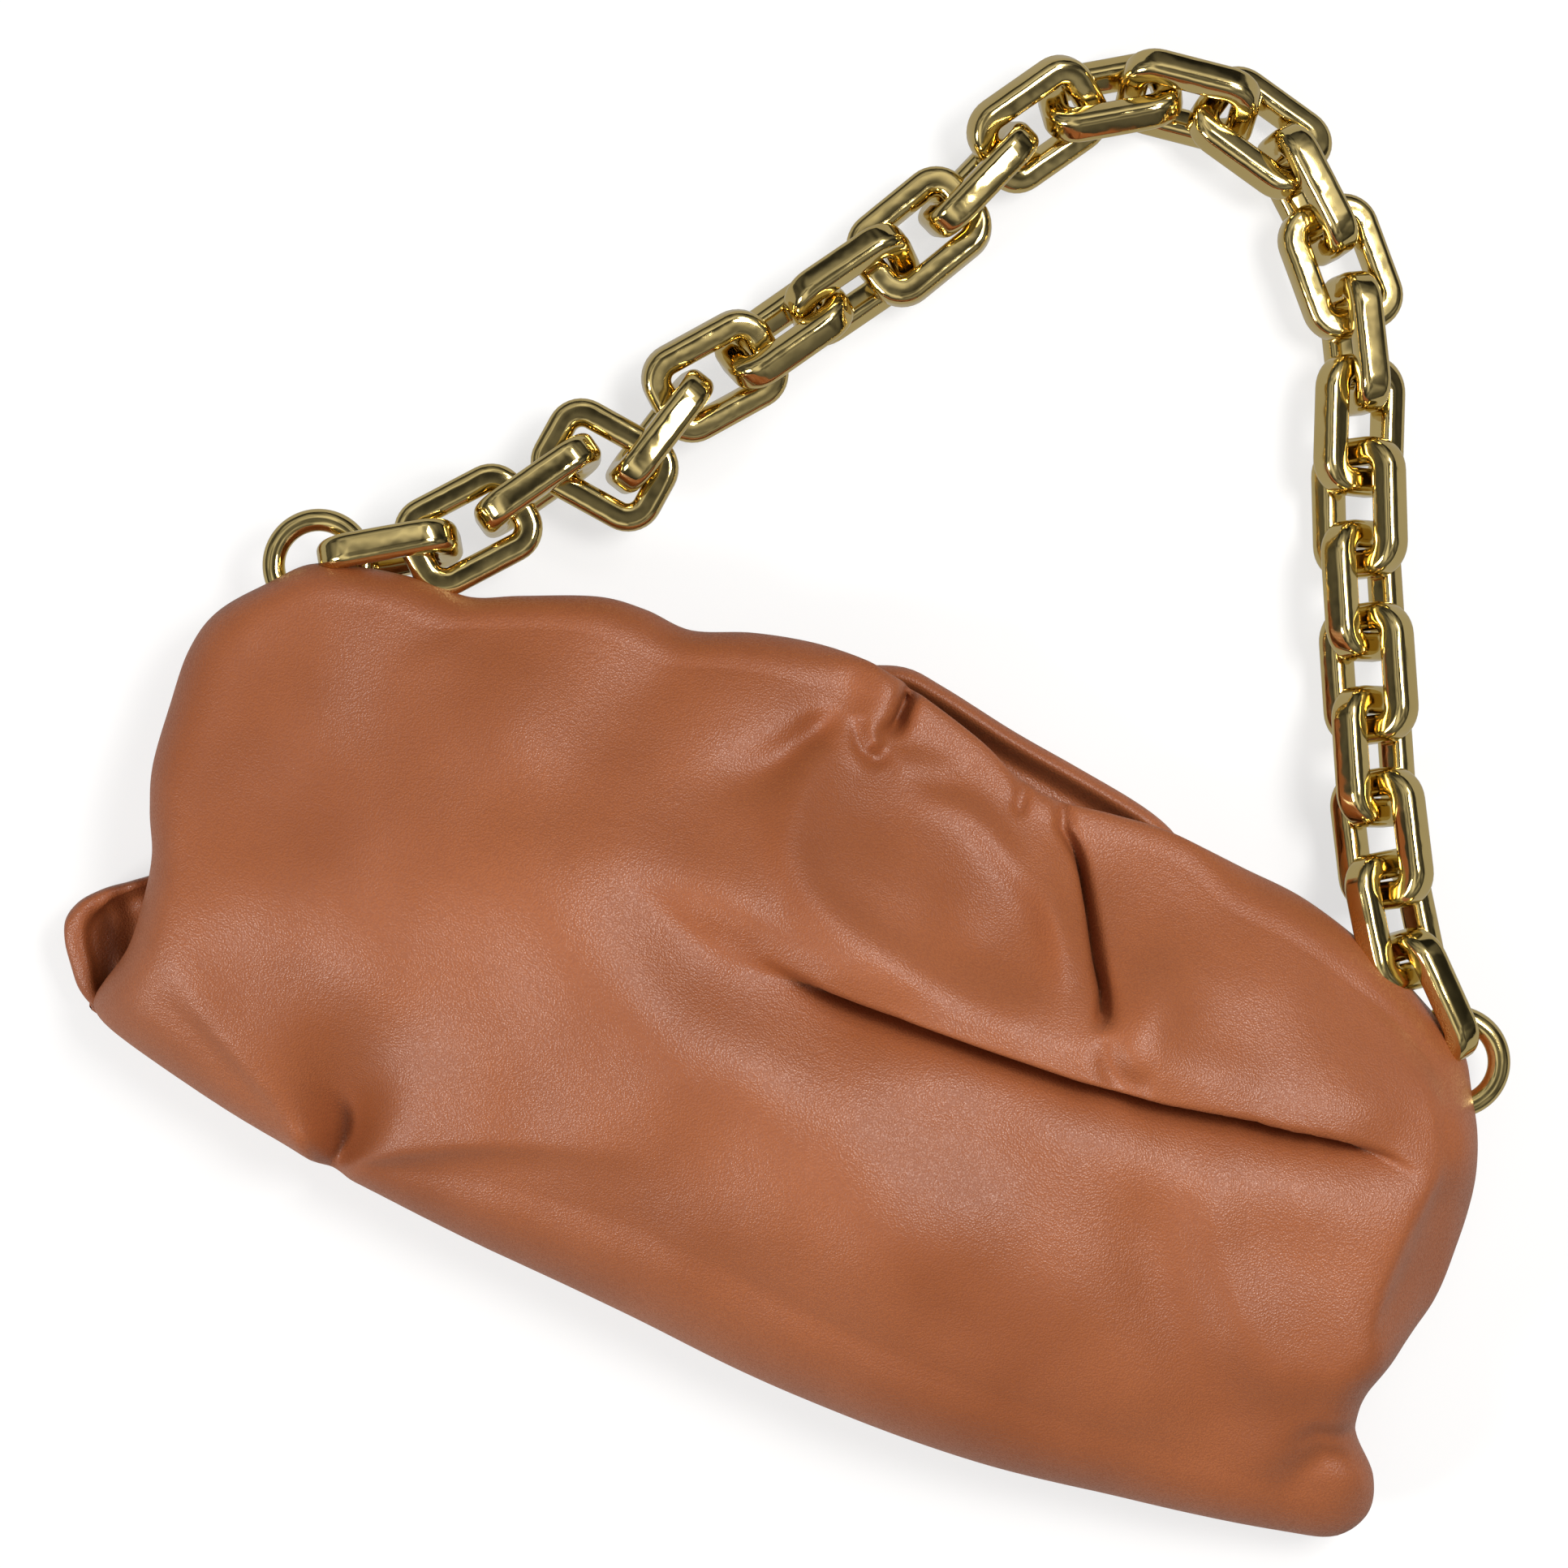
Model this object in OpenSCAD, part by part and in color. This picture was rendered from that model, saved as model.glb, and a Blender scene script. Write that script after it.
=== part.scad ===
// Soft frame pouch lying on its back, with a chunky rectangular link chain laid out above its mouth.
// X runs along the base, Y from the base towards the mouth and the chain, Z up; millimetres.

/* [Body] */
// How far the ears at the base reach past the rings
ear_reach = 20.9; // [20:0.1:22]
// Depth of the leather from the base to the mouth
bag_d = 160; // [152:1:168]
// Greatest thickness of the bag lying down
bag_t = 60; // [56:1:64]
// Thickness of the leather
leather_t = 2; // [1.8:0.1:2.2]
// Thickness of the fabric lining
lining_t = 0.8; // [0.7:0.1:0.9]
// How far the mouth side sinks below the overhanging fold
fold_drop = 6; // [5:0.5:7]
// Radius of the rolled edges round the base and the sides
roll_r = 10; // [9:0.5:12]
// How far the gussets stand in from the edge
seam_in = 1.5; // [1.2:0.1:1.8]

/* [Frame] */
// Length of the straight crown of the frame
crown_l = 150; // [145:1:155]
// Width of the flat frame bar
bar_w = 7; // [6.5:0.5:7.5]
// Thickness of the flat frame bar
bar_t = 3; // [2.8:0.1:3.1]
// Length of each hinge eye along the pin
eye_l = 3.4; // [3.2:0.1:3.5]
// Radius of the hinge pins
pin_r = 1.5; // [1.4:0.05:1.6]

/* [Rings] */
// Radius of the ring wire's middle line
ring_r = 10; // [9.9:0.05:10.1]
// Radius of the ring wire
wire_r = 2.5; // [2.4:0.05:2.55]
// Distance along X from a ring's middle to the middle of its frame leg
lug_reach = 15.6; // [15.4:0.1:16]
// Wall round the eye of a lug
lug_wall = 2.35; // [2.2:0.05:2.4]
// Thickness of the lug plates
lug_t = 2.6; // [2.4:0.1:2.7]
// Width of the lug feet and uprights
foot_w = 6.4; // [6:0.1:6.6]
// Length of the lug feet
foot_l = 9; // [8.5:0.25:9.5]
// Radius of the lug rivets
rivet_r = 1.4; // [1.3:0.05:1.5]

/* [Chain] */
// Outer length of a link
link_l = 31.5; // [31.4:0.05:31.55]
// Outer width of a link
link_w = 23; // [22.9:0.05:23.1]
// Thickness of the link bar in the plane of the link
link_t = 6.3; // [6.2:0.05:6.35]
// Width of the link bar across the plane of the link
link_b = 7.2; // [7.1:0.05:7.25]
// Cut-off edge of the link bar
link_cut = 2.2; // [2.15:0.05:2.4]
// Corner radius of the link bar's middle line
link_corner = 4.8; // [4.7:0.05:4.9]
// How far each end bar stands in from the middle of its ring along X
bar_in = 2.92; // [2.9:0.01:2.94]
// How far the left end bar stands beyond the middle of its ring along Y
bar_up_left = 2; // [1.95:0.01:2.05]
// How far the right end bar stands beyond the middle of its ring along Y
bar_up_right = 1.64; // [1.6:0.01:1.68]

/* [Fits] */
// Gap between pieces that lie on each other
seat_gap = 0.2; // [0.15:0.05:0.25]
// Gap between the closed frames
frame_gap = 0.6; // [0.5:0.05:0.7]
// Running clearance of the pins, on the radius
pin_clearance = 0.05; // [0.03:0.01:0.08]
// Clearance of the ring wire in its lug, on the radius
lug_clearance = 0.35; // [0.3:0.05:0.4]
// Clearance between linked bars
link_clearance = 0.3; // [0.28:0.02:0.34]
// How far the middle of the whole lies above the base line
rest_shift = 79.5; // [79:0.5:80]

/* [Hidden] */
unit = 1;
leather_colour = [0.36, 0.16, 0.08];
lining_colour = [0.30, 0.19, 0.12];
metal_colour = [0.80, 0.64, 0.30];
steel_colour = [0.55, 0.55, 0.55];

// Places of the outer edge in shares of the bag's length and depth, from the base to the mouth.
left_shares = [-0.46, -0.495, -0.495, -0.465, -0.472, -0.485, -0.488, -0.49, -0.49, -0.482, -0.44];
right_shares = [0.465, 0.498, 0.478, 0.462, 0.475, 0.484, 0.484, 0.48, 0.475, 0.465, 0.44];
base_shares = [
  -0.36, -0.395, -0.415, -0.435, -0.455, -0.465, -0.478, -0.482, -0.48, -0.46, -0.438, -0.412, -0.375
];
mouth_shares = [0.30, 0.353, 0.39, 0.44, 0.466, 0.494, 0.512, 0.494, 0.472, 0.44, 0.428, 0.39, 0.312];
lip_shares = [0.27, 0.294, 0.344, 0.406, 0.45, 0.475, 0.47, 0.431, 0.431, 0.431, 0.394, 0.31, 0.26];
fold_shares = [0.13, 0.12, 0.10, 0.08, 0.065, 0.055, 0.06, 0.075, 0.09, 0.11, 0.125, 0.14, 0.15];
// Height of the upper side in shares of the bag's thickness; rows run from the base to the mouth.
height_shares = [
  [0.46, 0.50, 0.50, 0.52, 0.54, 0.54, 0.54, 0.54, 0.54, 0.52, 0.50, 0.46, 0.42],
  [0.52, 0.62, 0.64, 0.66, 0.70, 0.70, 0.70, 0.70, 0.70, 0.68, 0.64, 0.56, 0.44],
  [0.56, 0.70, 0.76, 0.78, 0.82, 0.85, 0.86, 0.86, 0.85, 0.82, 0.76, 0.66, 0.50],
  [0.58, 0.74, 0.82, 0.86, 0.90, 0.94, 0.95, 0.95, 0.94, 0.90, 0.84, 0.72, 0.52],
  [0.58, 0.74, 0.82, 0.88, 0.94, 0.98, 0.98, 0.98, 0.96, 0.92, 0.86, 0.74, 0.54],
  [0.58, 0.72, 0.82, 0.90, 0.96, 1.00, 1.00, 0.98, 0.96, 0.92, 0.84, 0.74, 0.54],
  [0.56, 0.70, 0.78, 0.86, 0.92, 0.96, 0.96, 0.95, 0.94, 0.91, 0.84, 0.72, 0.54],
  [0.54, 0.66, 0.72, 0.76, 0.80, 0.81, 0.81, 0.81, 0.82, 0.82, 0.77, 0.68, 0.52],
  [0.52, 0.60, 0.63, 0.64, 0.64, 0.62, 0.60, 0.61, 0.64, 0.67, 0.66, 0.60, 0.50],
  [0.50, 0.54, 0.53, 0.52, 0.50, 0.46, 0.43, 0.44, 0.47, 0.51, 0.54, 0.53, 0.48],
  [0.46, 0.47, 0.45, 0.42, 0.38, 0.34, 0.32, 0.32, 0.35, 0.40, 0.44, 0.47, 0.46]
];

// Heading, roll and rise of each link in degrees, and its extra slack in shares of the bar.
turns = [
  [33, 80, 0, 0], [51, 4, -5, 0], [58, 88, -5, 0], [-6, 2, -2, 0], [76, -80, -5, 0],
  [52, 18, -4, 0], [58, -54, -2, 0], [57, 60, 0, 0], [62, -6, 0, 0], [69, -76, 0, 0],
  [58, 30, -2, 0], [33, -46, 1, 0], [8, 58, 2, 0], [-13, -24, 0, 0], [-40, 76, 0, 0.08],
  [-47, -9, 0, 0.11], [-61, 76, 0, 0], [-69, -34, 1, 0], [-66, 45, 2, 0], [-64, -45, 3, 0],
  [-64, 45, 4, 0], [-64, -45, 4, 0], [-61, 45, 4, 0], [-56, -40, 3, 0], [-43, 60, 0, 0]
];

// Smooth curve through evenly spaced values, for a place between 0 and 1.
function at(list, k) = list[max(0, min(len(list) - 1, k))];
function blend4(a, b, c, d, f) = b + f * (c - a) / 2
  + f * f * (2 * a - 5 * b + 4 * c - d) / 2 + f * f * f * (3 * b - a - 3 * c + d) / 2;
function along(list, s) = let (p = s * (len(list) - 1), k = min(floor(p), len(list) - 2), f = p - k)
  blend4(at(list, k - 1), at(list, k), at(list, k + 1), at(list, k + 2), f);
function edge_in(s, t) = min(min(s, 1 - s) * bag_w, t * bag_d) / roll_r;
function roll(e) = roll_share + (1 - roll_share) * sin(90 * min(1, e));
function rise_at(s, t) = bag_t * along([for (row = height_shares) along(row, s)], t) * roll(edge_in(s, t));

// The upper side: s runs from left to right and t from the base to the mouth.
function base_y(s) = bag_d * along(base_shares, s);
function mouth_y(s) = bag_d * along(mouth_shares, s);
function edge_x(s, t) = bag_w * (along(left_shares, t) * (1 - s) + along(right_shares, t) * s);
function spot(s, t) = [edge_x(s, t), base_y(s) * (1 - t) + mouth_y(s) * t];
function share_of(s, y) = (y - base_y(s)) / (mouth_y(s) - base_y(s));
function fold_t(s) = share_of(s, bag_d * along(fold_shares, s));
function lip_t(s) = share_of(s, bag_d * along(lip_shares, s));
function dip(s, t) = fold_drop * pow(max(0, 1 - max(0, t - fold_t(s)) * 3), 2);

// Derived sizes
link_long = link_l / 2 - link_t / 2;
link_wide = link_w / 2 - link_t / 2;
last_link = len(turns) - 1;
chain_run = start(last_link, [0, 0, 0]) + 2 * link_long * dir(last_link);
ring_span = chain_run[0] + 2 * bar_in;
ring_z = bag_t * 0.3;
ring_left_y = bag_d * 0.325;
ring_right_y = ring_left_y + bar_up_left + chain_run[1] - bar_up_right;
chain_start = [bar_in - ring_span / 2, ring_left_y + bar_up_left, ring_z];
bag_w = ring_span + 2 * ear_reach;
leg_x = ring_span / 2 - lug_reach;
hinge_y = bag_d * 0.15625;
hinge_z = leather_t + seat_gap + bar_t + frame_gap / 2;
eye_r = bar_t + (frame_gap - seat_gap) / 2;
bar_y = bag_d * 0.2625;
crown_y = bag_d * 0.375;
magnet_r = bar_w * 0.36;
magnet_h = bar_t * 0.6;
front_z = leather_t + seat_gap + bar_t + frame_gap;
leg_out = leg_x + bar_w / 2;
leg_in = leg_x - bar_w / 2;
leg_start = hinge_y + eye_r + 1.5 * seat_gap;
gusset_t = leather_t * 0.8;
foot_z = leather_t + bar_t + 2 * seat_gap;
foot_t = bar_t * 0.66;
lug_turn = atan2(ring_right_y - ring_left_y, ring_span);
lug_left_y = ring_left_y - ring_r * cos(lug_turn);
lug_right_y = ring_right_y - ring_r * cos(lug_turn);
lug_shift = ring_r * sin(lug_turn);
lug_hole_r = wire_r + lug_clearance;
lug_r = lug_hole_r + lug_wall;
rivet_in = foot_l * 0.6;
rivet_head_r = rivet_r * 1.6;
rivet_head_t = rivet_r * 0.7;
tuck = 0.03;
wall_gap = 2 * seat_gap;
lining_in = 0.03;
body_steps = 28;
body_rows = 12;
roll_share = 0.42;
flap_steps = 24;
flap_rows = 9;
flap_share = 0.04;
crowd_share = 0.55;

// The whole is moved so that its own middle lies at the origin.
module home() translate([0, -rest_shift, 0]) children();

// A closed body between an upper and a lower grid of points.
module slab(upper, lower, ni, nj) {
  m = nj + 1;
  n = len(upper);
  faces = concat(
    [for (i = [0:ni - 1]) for (j = [0:nj - 1]) [i * m + j, i * m + j + 1, (i + 1) * m + j + 1]],
    [for (i = [0:ni - 1]) for (j = [0:nj - 1]) [i * m + j, (i + 1) * m + j + 1, (i + 1) * m + j]],
    [for (i = [0:ni - 1]) for (j = [0:nj - 1]) [n + i * m + j, n + (i + 1) * m + j, n + (i + 1) * m + j + 1]],
    [for (i = [0:ni - 1]) for (j = [0:nj - 1]) [n + i * m + j, n + (i + 1) * m + j + 1, n + i * m + j + 1]],
    [for (i = [0:ni - 1]) [i * m, (i + 1) * m, n + (i + 1) * m]],
    [for (i = [0:ni - 1]) [i * m, n + (i + 1) * m, n + i * m]],
    [for (i = [0:ni - 1]) [(i + 1) * m + nj, i * m + nj, n + i * m + nj]],
    [for (i = [0:ni - 1]) [(i + 1) * m + nj, n + i * m + nj, n + (i + 1) * m + nj]],
    [for (j = [0:nj - 1]) [j + 1, j, n + j]],
    [for (j = [0:nj - 1]) [j + 1, n + j, n + j + 1]],
    [for (j = [0:nj - 1]) [ni * m + j, ni * m + j + 1, n + ni * m + j + 1]],
    [for (j = [0:nj - 1]) [ni * m + j, n + ni * m + j + 1, n + ni * m + j]]
  );
  polyhedron(points = concat(upper, lower), faces = faces);
}

// A layer that lies a given depth under the upper side, either of even thickness or down to a floor.
module layer(ss, lows, highs, rows, sunk, depth, thick, floor_z) {
  grid = [for (i = [0:len(ss) - 1]) for (row = rows)
    let (t = lows[i] + (highs[i] - lows[i]) * row, p = spot(ss[i], t))
      [p[0], p[1], rise_at(ss[i], t) - (sunk ? dip(ss[i], t) : 0) - depth]];
  under = [for (p = grid) [p[0], p[1], thick > 0 ? p[2] - thick : floor_z]];
  slab(grid, under, len(ss) - 1, len(rows) - 1);
}
function steps(a, b, n) = [for (i = [0:n]) a + (b - a) * i / n];

// Stations across the body and its rows from the base to the fold, closer together at the rolled edges.
function station(i) = i / body_steps - crowd_share * sin(360 * i / body_steps) / (2 * PI);
function stations(a, b) = [for (i = [a:b]) station(i)];
function body_share(j) = pow(j / body_rows, 1.5);
function body_shares(a, b) = [for (j = [a:b]) body_share(j)];

// Flat outline through the edge points, used by the back panel and its lining.
function rim(inset, top_t) = concat(
  [for (s = steps(inset, 1 - inset, 24)) spot(s, inset)],
  [for (t = steps(inset, top_t, 12)) spot(1 - inset, t)],
  [for (s = steps(1 - inset, inset, 24)) spot(s, top_t)],
  [for (t = steps(top_t, inset, 12)) spot(inset, t)]
);

module back_panel() color(leather_colour) home() linear_extrude(height = leather_t) polygon(rim(0, 1));

module front_body_panel() color(leather_colour) home() {
  ss = stations(0, body_steps);
  layer(ss, [for (s = ss) 0], [for (s = ss) fold_t(s)], body_shares(0, body_rows), false, 0, leather_t, 0);
}

// Stations of the flap across the bag and its rows from the fold to the lip; its lining shares them.
function flap_station(i) = flap_share + (1 - 2 * flap_share) * i / flap_steps;
function flap_row(s, j) = fold_t(s) - tuck + (lip_t(s) - fold_t(s) + tuck) * j / flap_rows;

module front_flap_panel() color(leather_colour) home() {
  ss = [for (i = [0:flap_steps]) flap_station(i)];
  layer(ss, [for (s = ss) flap_row(s, 0)], [for (s = ss) flap_row(s, flap_rows)],
    steps(0, 1, flap_rows), true, 0, leather_t, 0);
}

module base_panel() color(leather_colour) home() {
  ss = stations(1, body_steps - 1);
  near_t = seam_in / bag_d;
  far_t = (seam_in + gusset_t) / bag_d;
  floor_z = leather_t + seat_gap;
  layer(ss, [for (s = ss) near_t], [for (s = ss) far_t], [0, 1], false, floor_z + wall_gap, 0, floor_z);
}

module gusset(from_s, to_s) color(leather_colour) home()
  layer([from_s, to_s], [0, 0], [fold_t(from_s), fold_t(to_s)], body_shares(2, body_rows), false,
    leather_t + seat_gap + wall_gap, 0, leather_t + seat_gap);

module gusset_left() gusset(seam_in / bag_w, (seam_in + gusset_t) / bag_w);
module gusset_right() gusset(1 - (seam_in + gusset_t) / bag_w, 1 - seam_in / bag_w);

module lining_back() color(lining_colour) home() translate([0, 0, leather_t + seat_gap])
  linear_extrude(height = lining_t) polygon(rim(lining_in, 0.6));

module lining_front() color(lining_colour) home() {
  ss = stations(2, body_steps - 2);
  layer(ss, [for (s = ss) 0], [for (s = ss) fold_t(s)], body_shares(3, body_rows - 1), false,
    leather_t + seat_gap, lining_t, 0);
}

module lining_flap() color(lining_colour) home() {
  ss = [for (i = [2:flap_steps - 2]) flap_station(i)];
  layer(ss, [for (s = ss) flap_row(s, 1)], [for (s = ss) flap_row(s, 5)], steps(0, 1, 4), true,
    leather_t + seat_gap, lining_t, 0);
}

// Place of the frame's middle line along Y at a share of the width.
function frame_line(s) = let (x = abs(edge_x(s, 0.85)), k = (x - crown_l / 2) / (leg_x - crown_l / 2))
  crown_y + (bar_y - crown_y) * max(0, k);

// Flat band of the frame: two legs, two slanting shoulders and a straight crown.
function band(e, y) = [
  [-leg_x - e, y],
  [-leg_x - e, bar_y + 0.4 * e - bar_w / 2],
  [-leg_x - 0.4 * e, bar_y + 0.9 * e],
  [-crown_l / 2 - 0.3 * e, crown_y + e],
  [crown_l / 2 + 0.3 * e, crown_y + e],
  [leg_x + 0.4 * e, bar_y + 0.9 * e],
  [leg_x + e, bar_y + 0.4 * e - bar_w / 2],
  [leg_x + e, y]
];
module frame_band(z) translate([0, 0, z]) linear_extrude(height = bar_t) difference() {
  polygon(band(bar_w / 2, leg_start));
  polygon(band(-bar_w / 2, 0));
}

// Eye of a leg: a round boss on the hinge line and a tongue that joins it to the leg's end.
module eye(x, z) {
  translate([x, hinge_y, hinge_z]) rotate([0, 90, 0]) cylinder(r = eye_r, h = eye_l, $fn = 48);
  translate([x, hinge_y, z]) cube([eye_l, leg_start - hinge_y + bar_w / 2, bar_t]);
}
module eye_hole(x) translate([x, hinge_y, hinge_z]) rotate([0, 90, 0])
  translate([0, 0, -eye_l]) cylinder(r = pin_r + pin_clearance, h = 3 * eye_l, $fn = 48);

module magnet_pocket(z) translate([0, crown_y, z])
  cylinder(r = magnet_r + pin_clearance, h = magnet_h + seat_gap, $fn = 48);

module arm(side, y)
  translate([side > 0 ? leg_x : -ring_span / 2 - lug_t / 2, y - foot_w / 2 - seat_gap, leather_t + seat_gap])
  cube([ring_span / 2 + lug_t / 2 - leg_x, foot_w + 2 * seat_gap, bar_t]);

module rivet_hole(side, y) translate([side * (ring_span / 2 - rivet_in), y, 0])
  cylinder(r = rivet_r + pin_clearance, h = 2 * foot_z, $fn = 32);

module rear_frame() color(metal_colour) home() difference() {
  union() {
    frame_band(leather_t + seat_gap);
    eye(leg_out - eye_l, leather_t + seat_gap);
    eye(-leg_out, leather_t + seat_gap);
    arm(1, lug_right_y);
    arm(-1, lug_left_y);
  }
  eye_hole(leg_out - eye_l);
  eye_hole(-leg_out);
  magnet_pocket(leather_t + bar_t - magnet_h);
  rivet_hole(1, lug_right_y);
  rivet_hole(-1, lug_left_y);
}

module front_frame() color(metal_colour) home() difference() {
  union() {
    frame_band(front_z);
    eye(leg_in, front_z);
    eye(-leg_in - eye_l, front_z);
  }
  eye_hole(leg_in);
  eye_hole(-leg_in - eye_l);
  magnet_pocket(front_z);
}

module frame_sleeve() color(leather_colour) home() {
  ss = steps(0.12, 0.88, 18);
  layer(ss, [for (s = ss) share_of(s, frame_line(s) - bar_w / 2)],
    [for (s = ss) share_of(s, frame_line(s) + bar_w / 2)], [0, 0.5, 1], true,
    leather_t + seat_gap, 0, front_z + bar_t + seat_gap);
}

module hinge_pin(x) color(steel_colour) home() translate([x, hinge_y, hinge_z]) rotate([0, 90, 0]) {
  translate([0, 0, -seat_gap]) cylinder(r = pin_r, h = bar_w + 2 * seat_gap, $fn = 48);
  translate([0, 0, bar_w + seat_gap]) cylinder(r = pin_r * 1.7, h = pin_r * 0.6, $fn = 48);
  translate([0, 0, -seat_gap - pin_r * 0.6]) cylinder(r = pin_r * 1.7, h = pin_r * 0.6, $fn = 48);
}
module hinge_pin_left() hinge_pin(-leg_out);
module hinge_pin_right() hinge_pin(leg_in);

module magnet_rear() color(steel_colour) home()
  translate([0, crown_y, leather_t + bar_t - magnet_h + seat_gap / 2])
  cylinder(r = magnet_r, h = magnet_h, $fn = 48);
module magnet_front() color(steel_colour) home() translate([0, crown_y, front_z + seat_gap / 2])
  cylinder(r = magnet_r, h = magnet_h, $fn = 48);

// Lug: a foot on the frame's arm and an upright with the eye that the ring runs through.
module lug(side, y) color(metal_colour) home()
  translate([side * ring_span / 2 + lug_shift, y, 0]) rotate([0, 0, lug_turn]) difference() {
    union() {
      translate([side > 0 ? lug_t / 2 - foot_l : -lug_t / 2, -foot_w / 2, foot_z])
        cube([foot_l, foot_w, foot_t]);
      translate([-lug_t / 2, -foot_w / 2, foot_z]) cube([lug_t, foot_w, ring_z - foot_z]);
      translate([-lug_t / 2, 0, ring_z]) rotate([0, 90, 0]) cylinder(r = lug_r, h = lug_t, $fn = 64);
    }
    translate([-lug_t, 0, ring_z]) rotate([0, 90, 0]) cylinder(r = lug_hole_r, h = 2 * lug_t, $fn = 64);
    rotate([0, 0, -lug_turn]) translate([-side * rivet_in - lug_shift, 0, 0])
      cylinder(r = rivet_r + pin_clearance, h = 2 * foot_z, $fn = 32);
  }
module lug_left() lug(-1, lug_left_y);
module lug_right() lug(1, lug_right_y);

module lug_rivet(side, y) color(metal_colour) home() translate([side * (ring_span / 2 - rivet_in), y, 0]) {
  translate([0, 0, leather_t + seat_gap]) cylinder(r = rivet_r, h = foot_z + foot_t - leather_t, $fn = 32);
  translate([0, 0, foot_z + foot_t + seat_gap]) cylinder(r = rivet_head_r, h = rivet_head_t, $fn = 32);
}
module lug_rivet_left() lug_rivet(-1, lug_left_y);
module lug_rivet_right() lug_rivet(1, lug_right_y);

module ring(side, y) color(metal_colour) home() translate([side * ring_span / 2, y, ring_z])
  rotate_extrude($fn = 72) translate([ring_r, 0]) circle(r = wire_r, $fn = 32);
module ring_left() ring(-1, ring_left_y);
module ring_right() ring(1, ring_right_y);

// Section of a link bar: a rectangle with cut-off edges.
module bar_section() {
  a = link_t / 2;
  b = link_b / 2;
  polygon([
    [a, b - link_cut], [a - link_cut, b], [link_cut - a, b], [-a, b - link_cut],
    [-a, link_cut - b], [link_cut - a, -b], [a - link_cut, -b], [a, link_cut - b]
  ]);
}
module bar_run(run) rotate([90, 0, 90]) linear_extrude(height = run, center = true) bar_section();
module bar_bend(x, y, turn) translate([x, y, 0]) rotate([0, 0, turn])
  rotate_extrude(angle = 90, $fn = 48) translate([link_corner, 0]) bar_section();

module link() {
  x = link_long - link_corner;
  y = link_wide - link_corner;
  translate([0, link_wide, 0]) bar_run(2 * x);
  translate([0, -link_wide, 0]) bar_run(2 * x);
  translate([link_long, 0, 0]) rotate([0, 0, 90]) bar_run(2 * y);
  translate([-link_long, 0, 0]) rotate([0, 0, 90]) bar_run(2 * y);
  bar_bend(x, y, 0);
  bar_bend(-x, y, 90);
  bar_bend(-x, -y, 180);
  bar_bend(x, -y, 270);
}

// Each link starts where its end bar clears the one before it at the middle of both bars.
function dir(k) = let (h = turns[k][0], e = turns[k][2]) [cos(h) * cos(e), sin(h) * cos(e), sin(e)];
function side_of(k) = let (l = [-sin(turns[k][0]), cos(turns[k][0]), 0])
  cos(turns[k][1]) * l + sin(turns[k][1]) * cross(dir(k), l);
function reach(k, m) = (link_t / 2 - link_cut) * abs(dir(k) * m)
  + (link_b / 2 - link_cut) * abs(cross(dir(k), side_of(k)) * m) + link_cut;
function between(k) = let (c = cross(side_of(k), side_of(k + 1)), m = c / norm(c),
    way = (dir(k) + dir(k + 1)) * m < 0 ? -m : m)
  (reach(k, m) + reach(k + 1, m) + link_clearance + turns[k][3] * link_t) * way;
function start(k, from) = k == 0 ? from : start(k - 1, from) + 2 * link_long * dir(k - 1) - between(k - 1);

module chain_link(k) color(metal_colour) home() translate(start(k, chain_start) + link_long * dir(k))
  rotate([turns[k][1], -turns[k][2], turns[k][0]]) link();
module link_01() chain_link(0);
module link_02() chain_link(1);
module link_03() chain_link(2);
module link_04() chain_link(3);
module link_05() chain_link(4);
module link_06() chain_link(5);
module link_07() chain_link(6);
module link_08() chain_link(7);
module link_09() chain_link(8);
module link_10() chain_link(9);
module link_11() chain_link(10);
module link_12() chain_link(11);
module link_13() chain_link(12);
module link_14() chain_link(13);
module link_15() chain_link(14);
module link_16() chain_link(15);
module link_17() chain_link(16);
module link_18() chain_link(17);
module link_19() chain_link(18);
module link_20() chain_link(19);
module link_21() chain_link(20);
module link_22() chain_link(21);
module link_23() chain_link(22);
module link_24() chain_link(23);
module link_25() chain_link(24);

back_panel();
front_body_panel();
front_flap_panel();
base_panel();
gusset_left();
gusset_right();
lining_back();
lining_front();
lining_flap();
rear_frame();
front_frame();
frame_sleeve();
hinge_pin_left();
hinge_pin_right();
magnet_rear();
magnet_front();
lug_left();
lug_right();
lug_rivet_left();
lug_rivet_right();
ring_left();
ring_right();
link_01();
link_02();
link_03();
link_04();
link_05();
link_06();
link_07();
link_08();
link_09();
link_10();
link_11();
link_12();
link_13();
link_14();
link_15();
link_16();
link_17();
link_18();
link_19();
link_20();
link_21();
link_22();
link_23();
link_24();
link_25();
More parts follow.
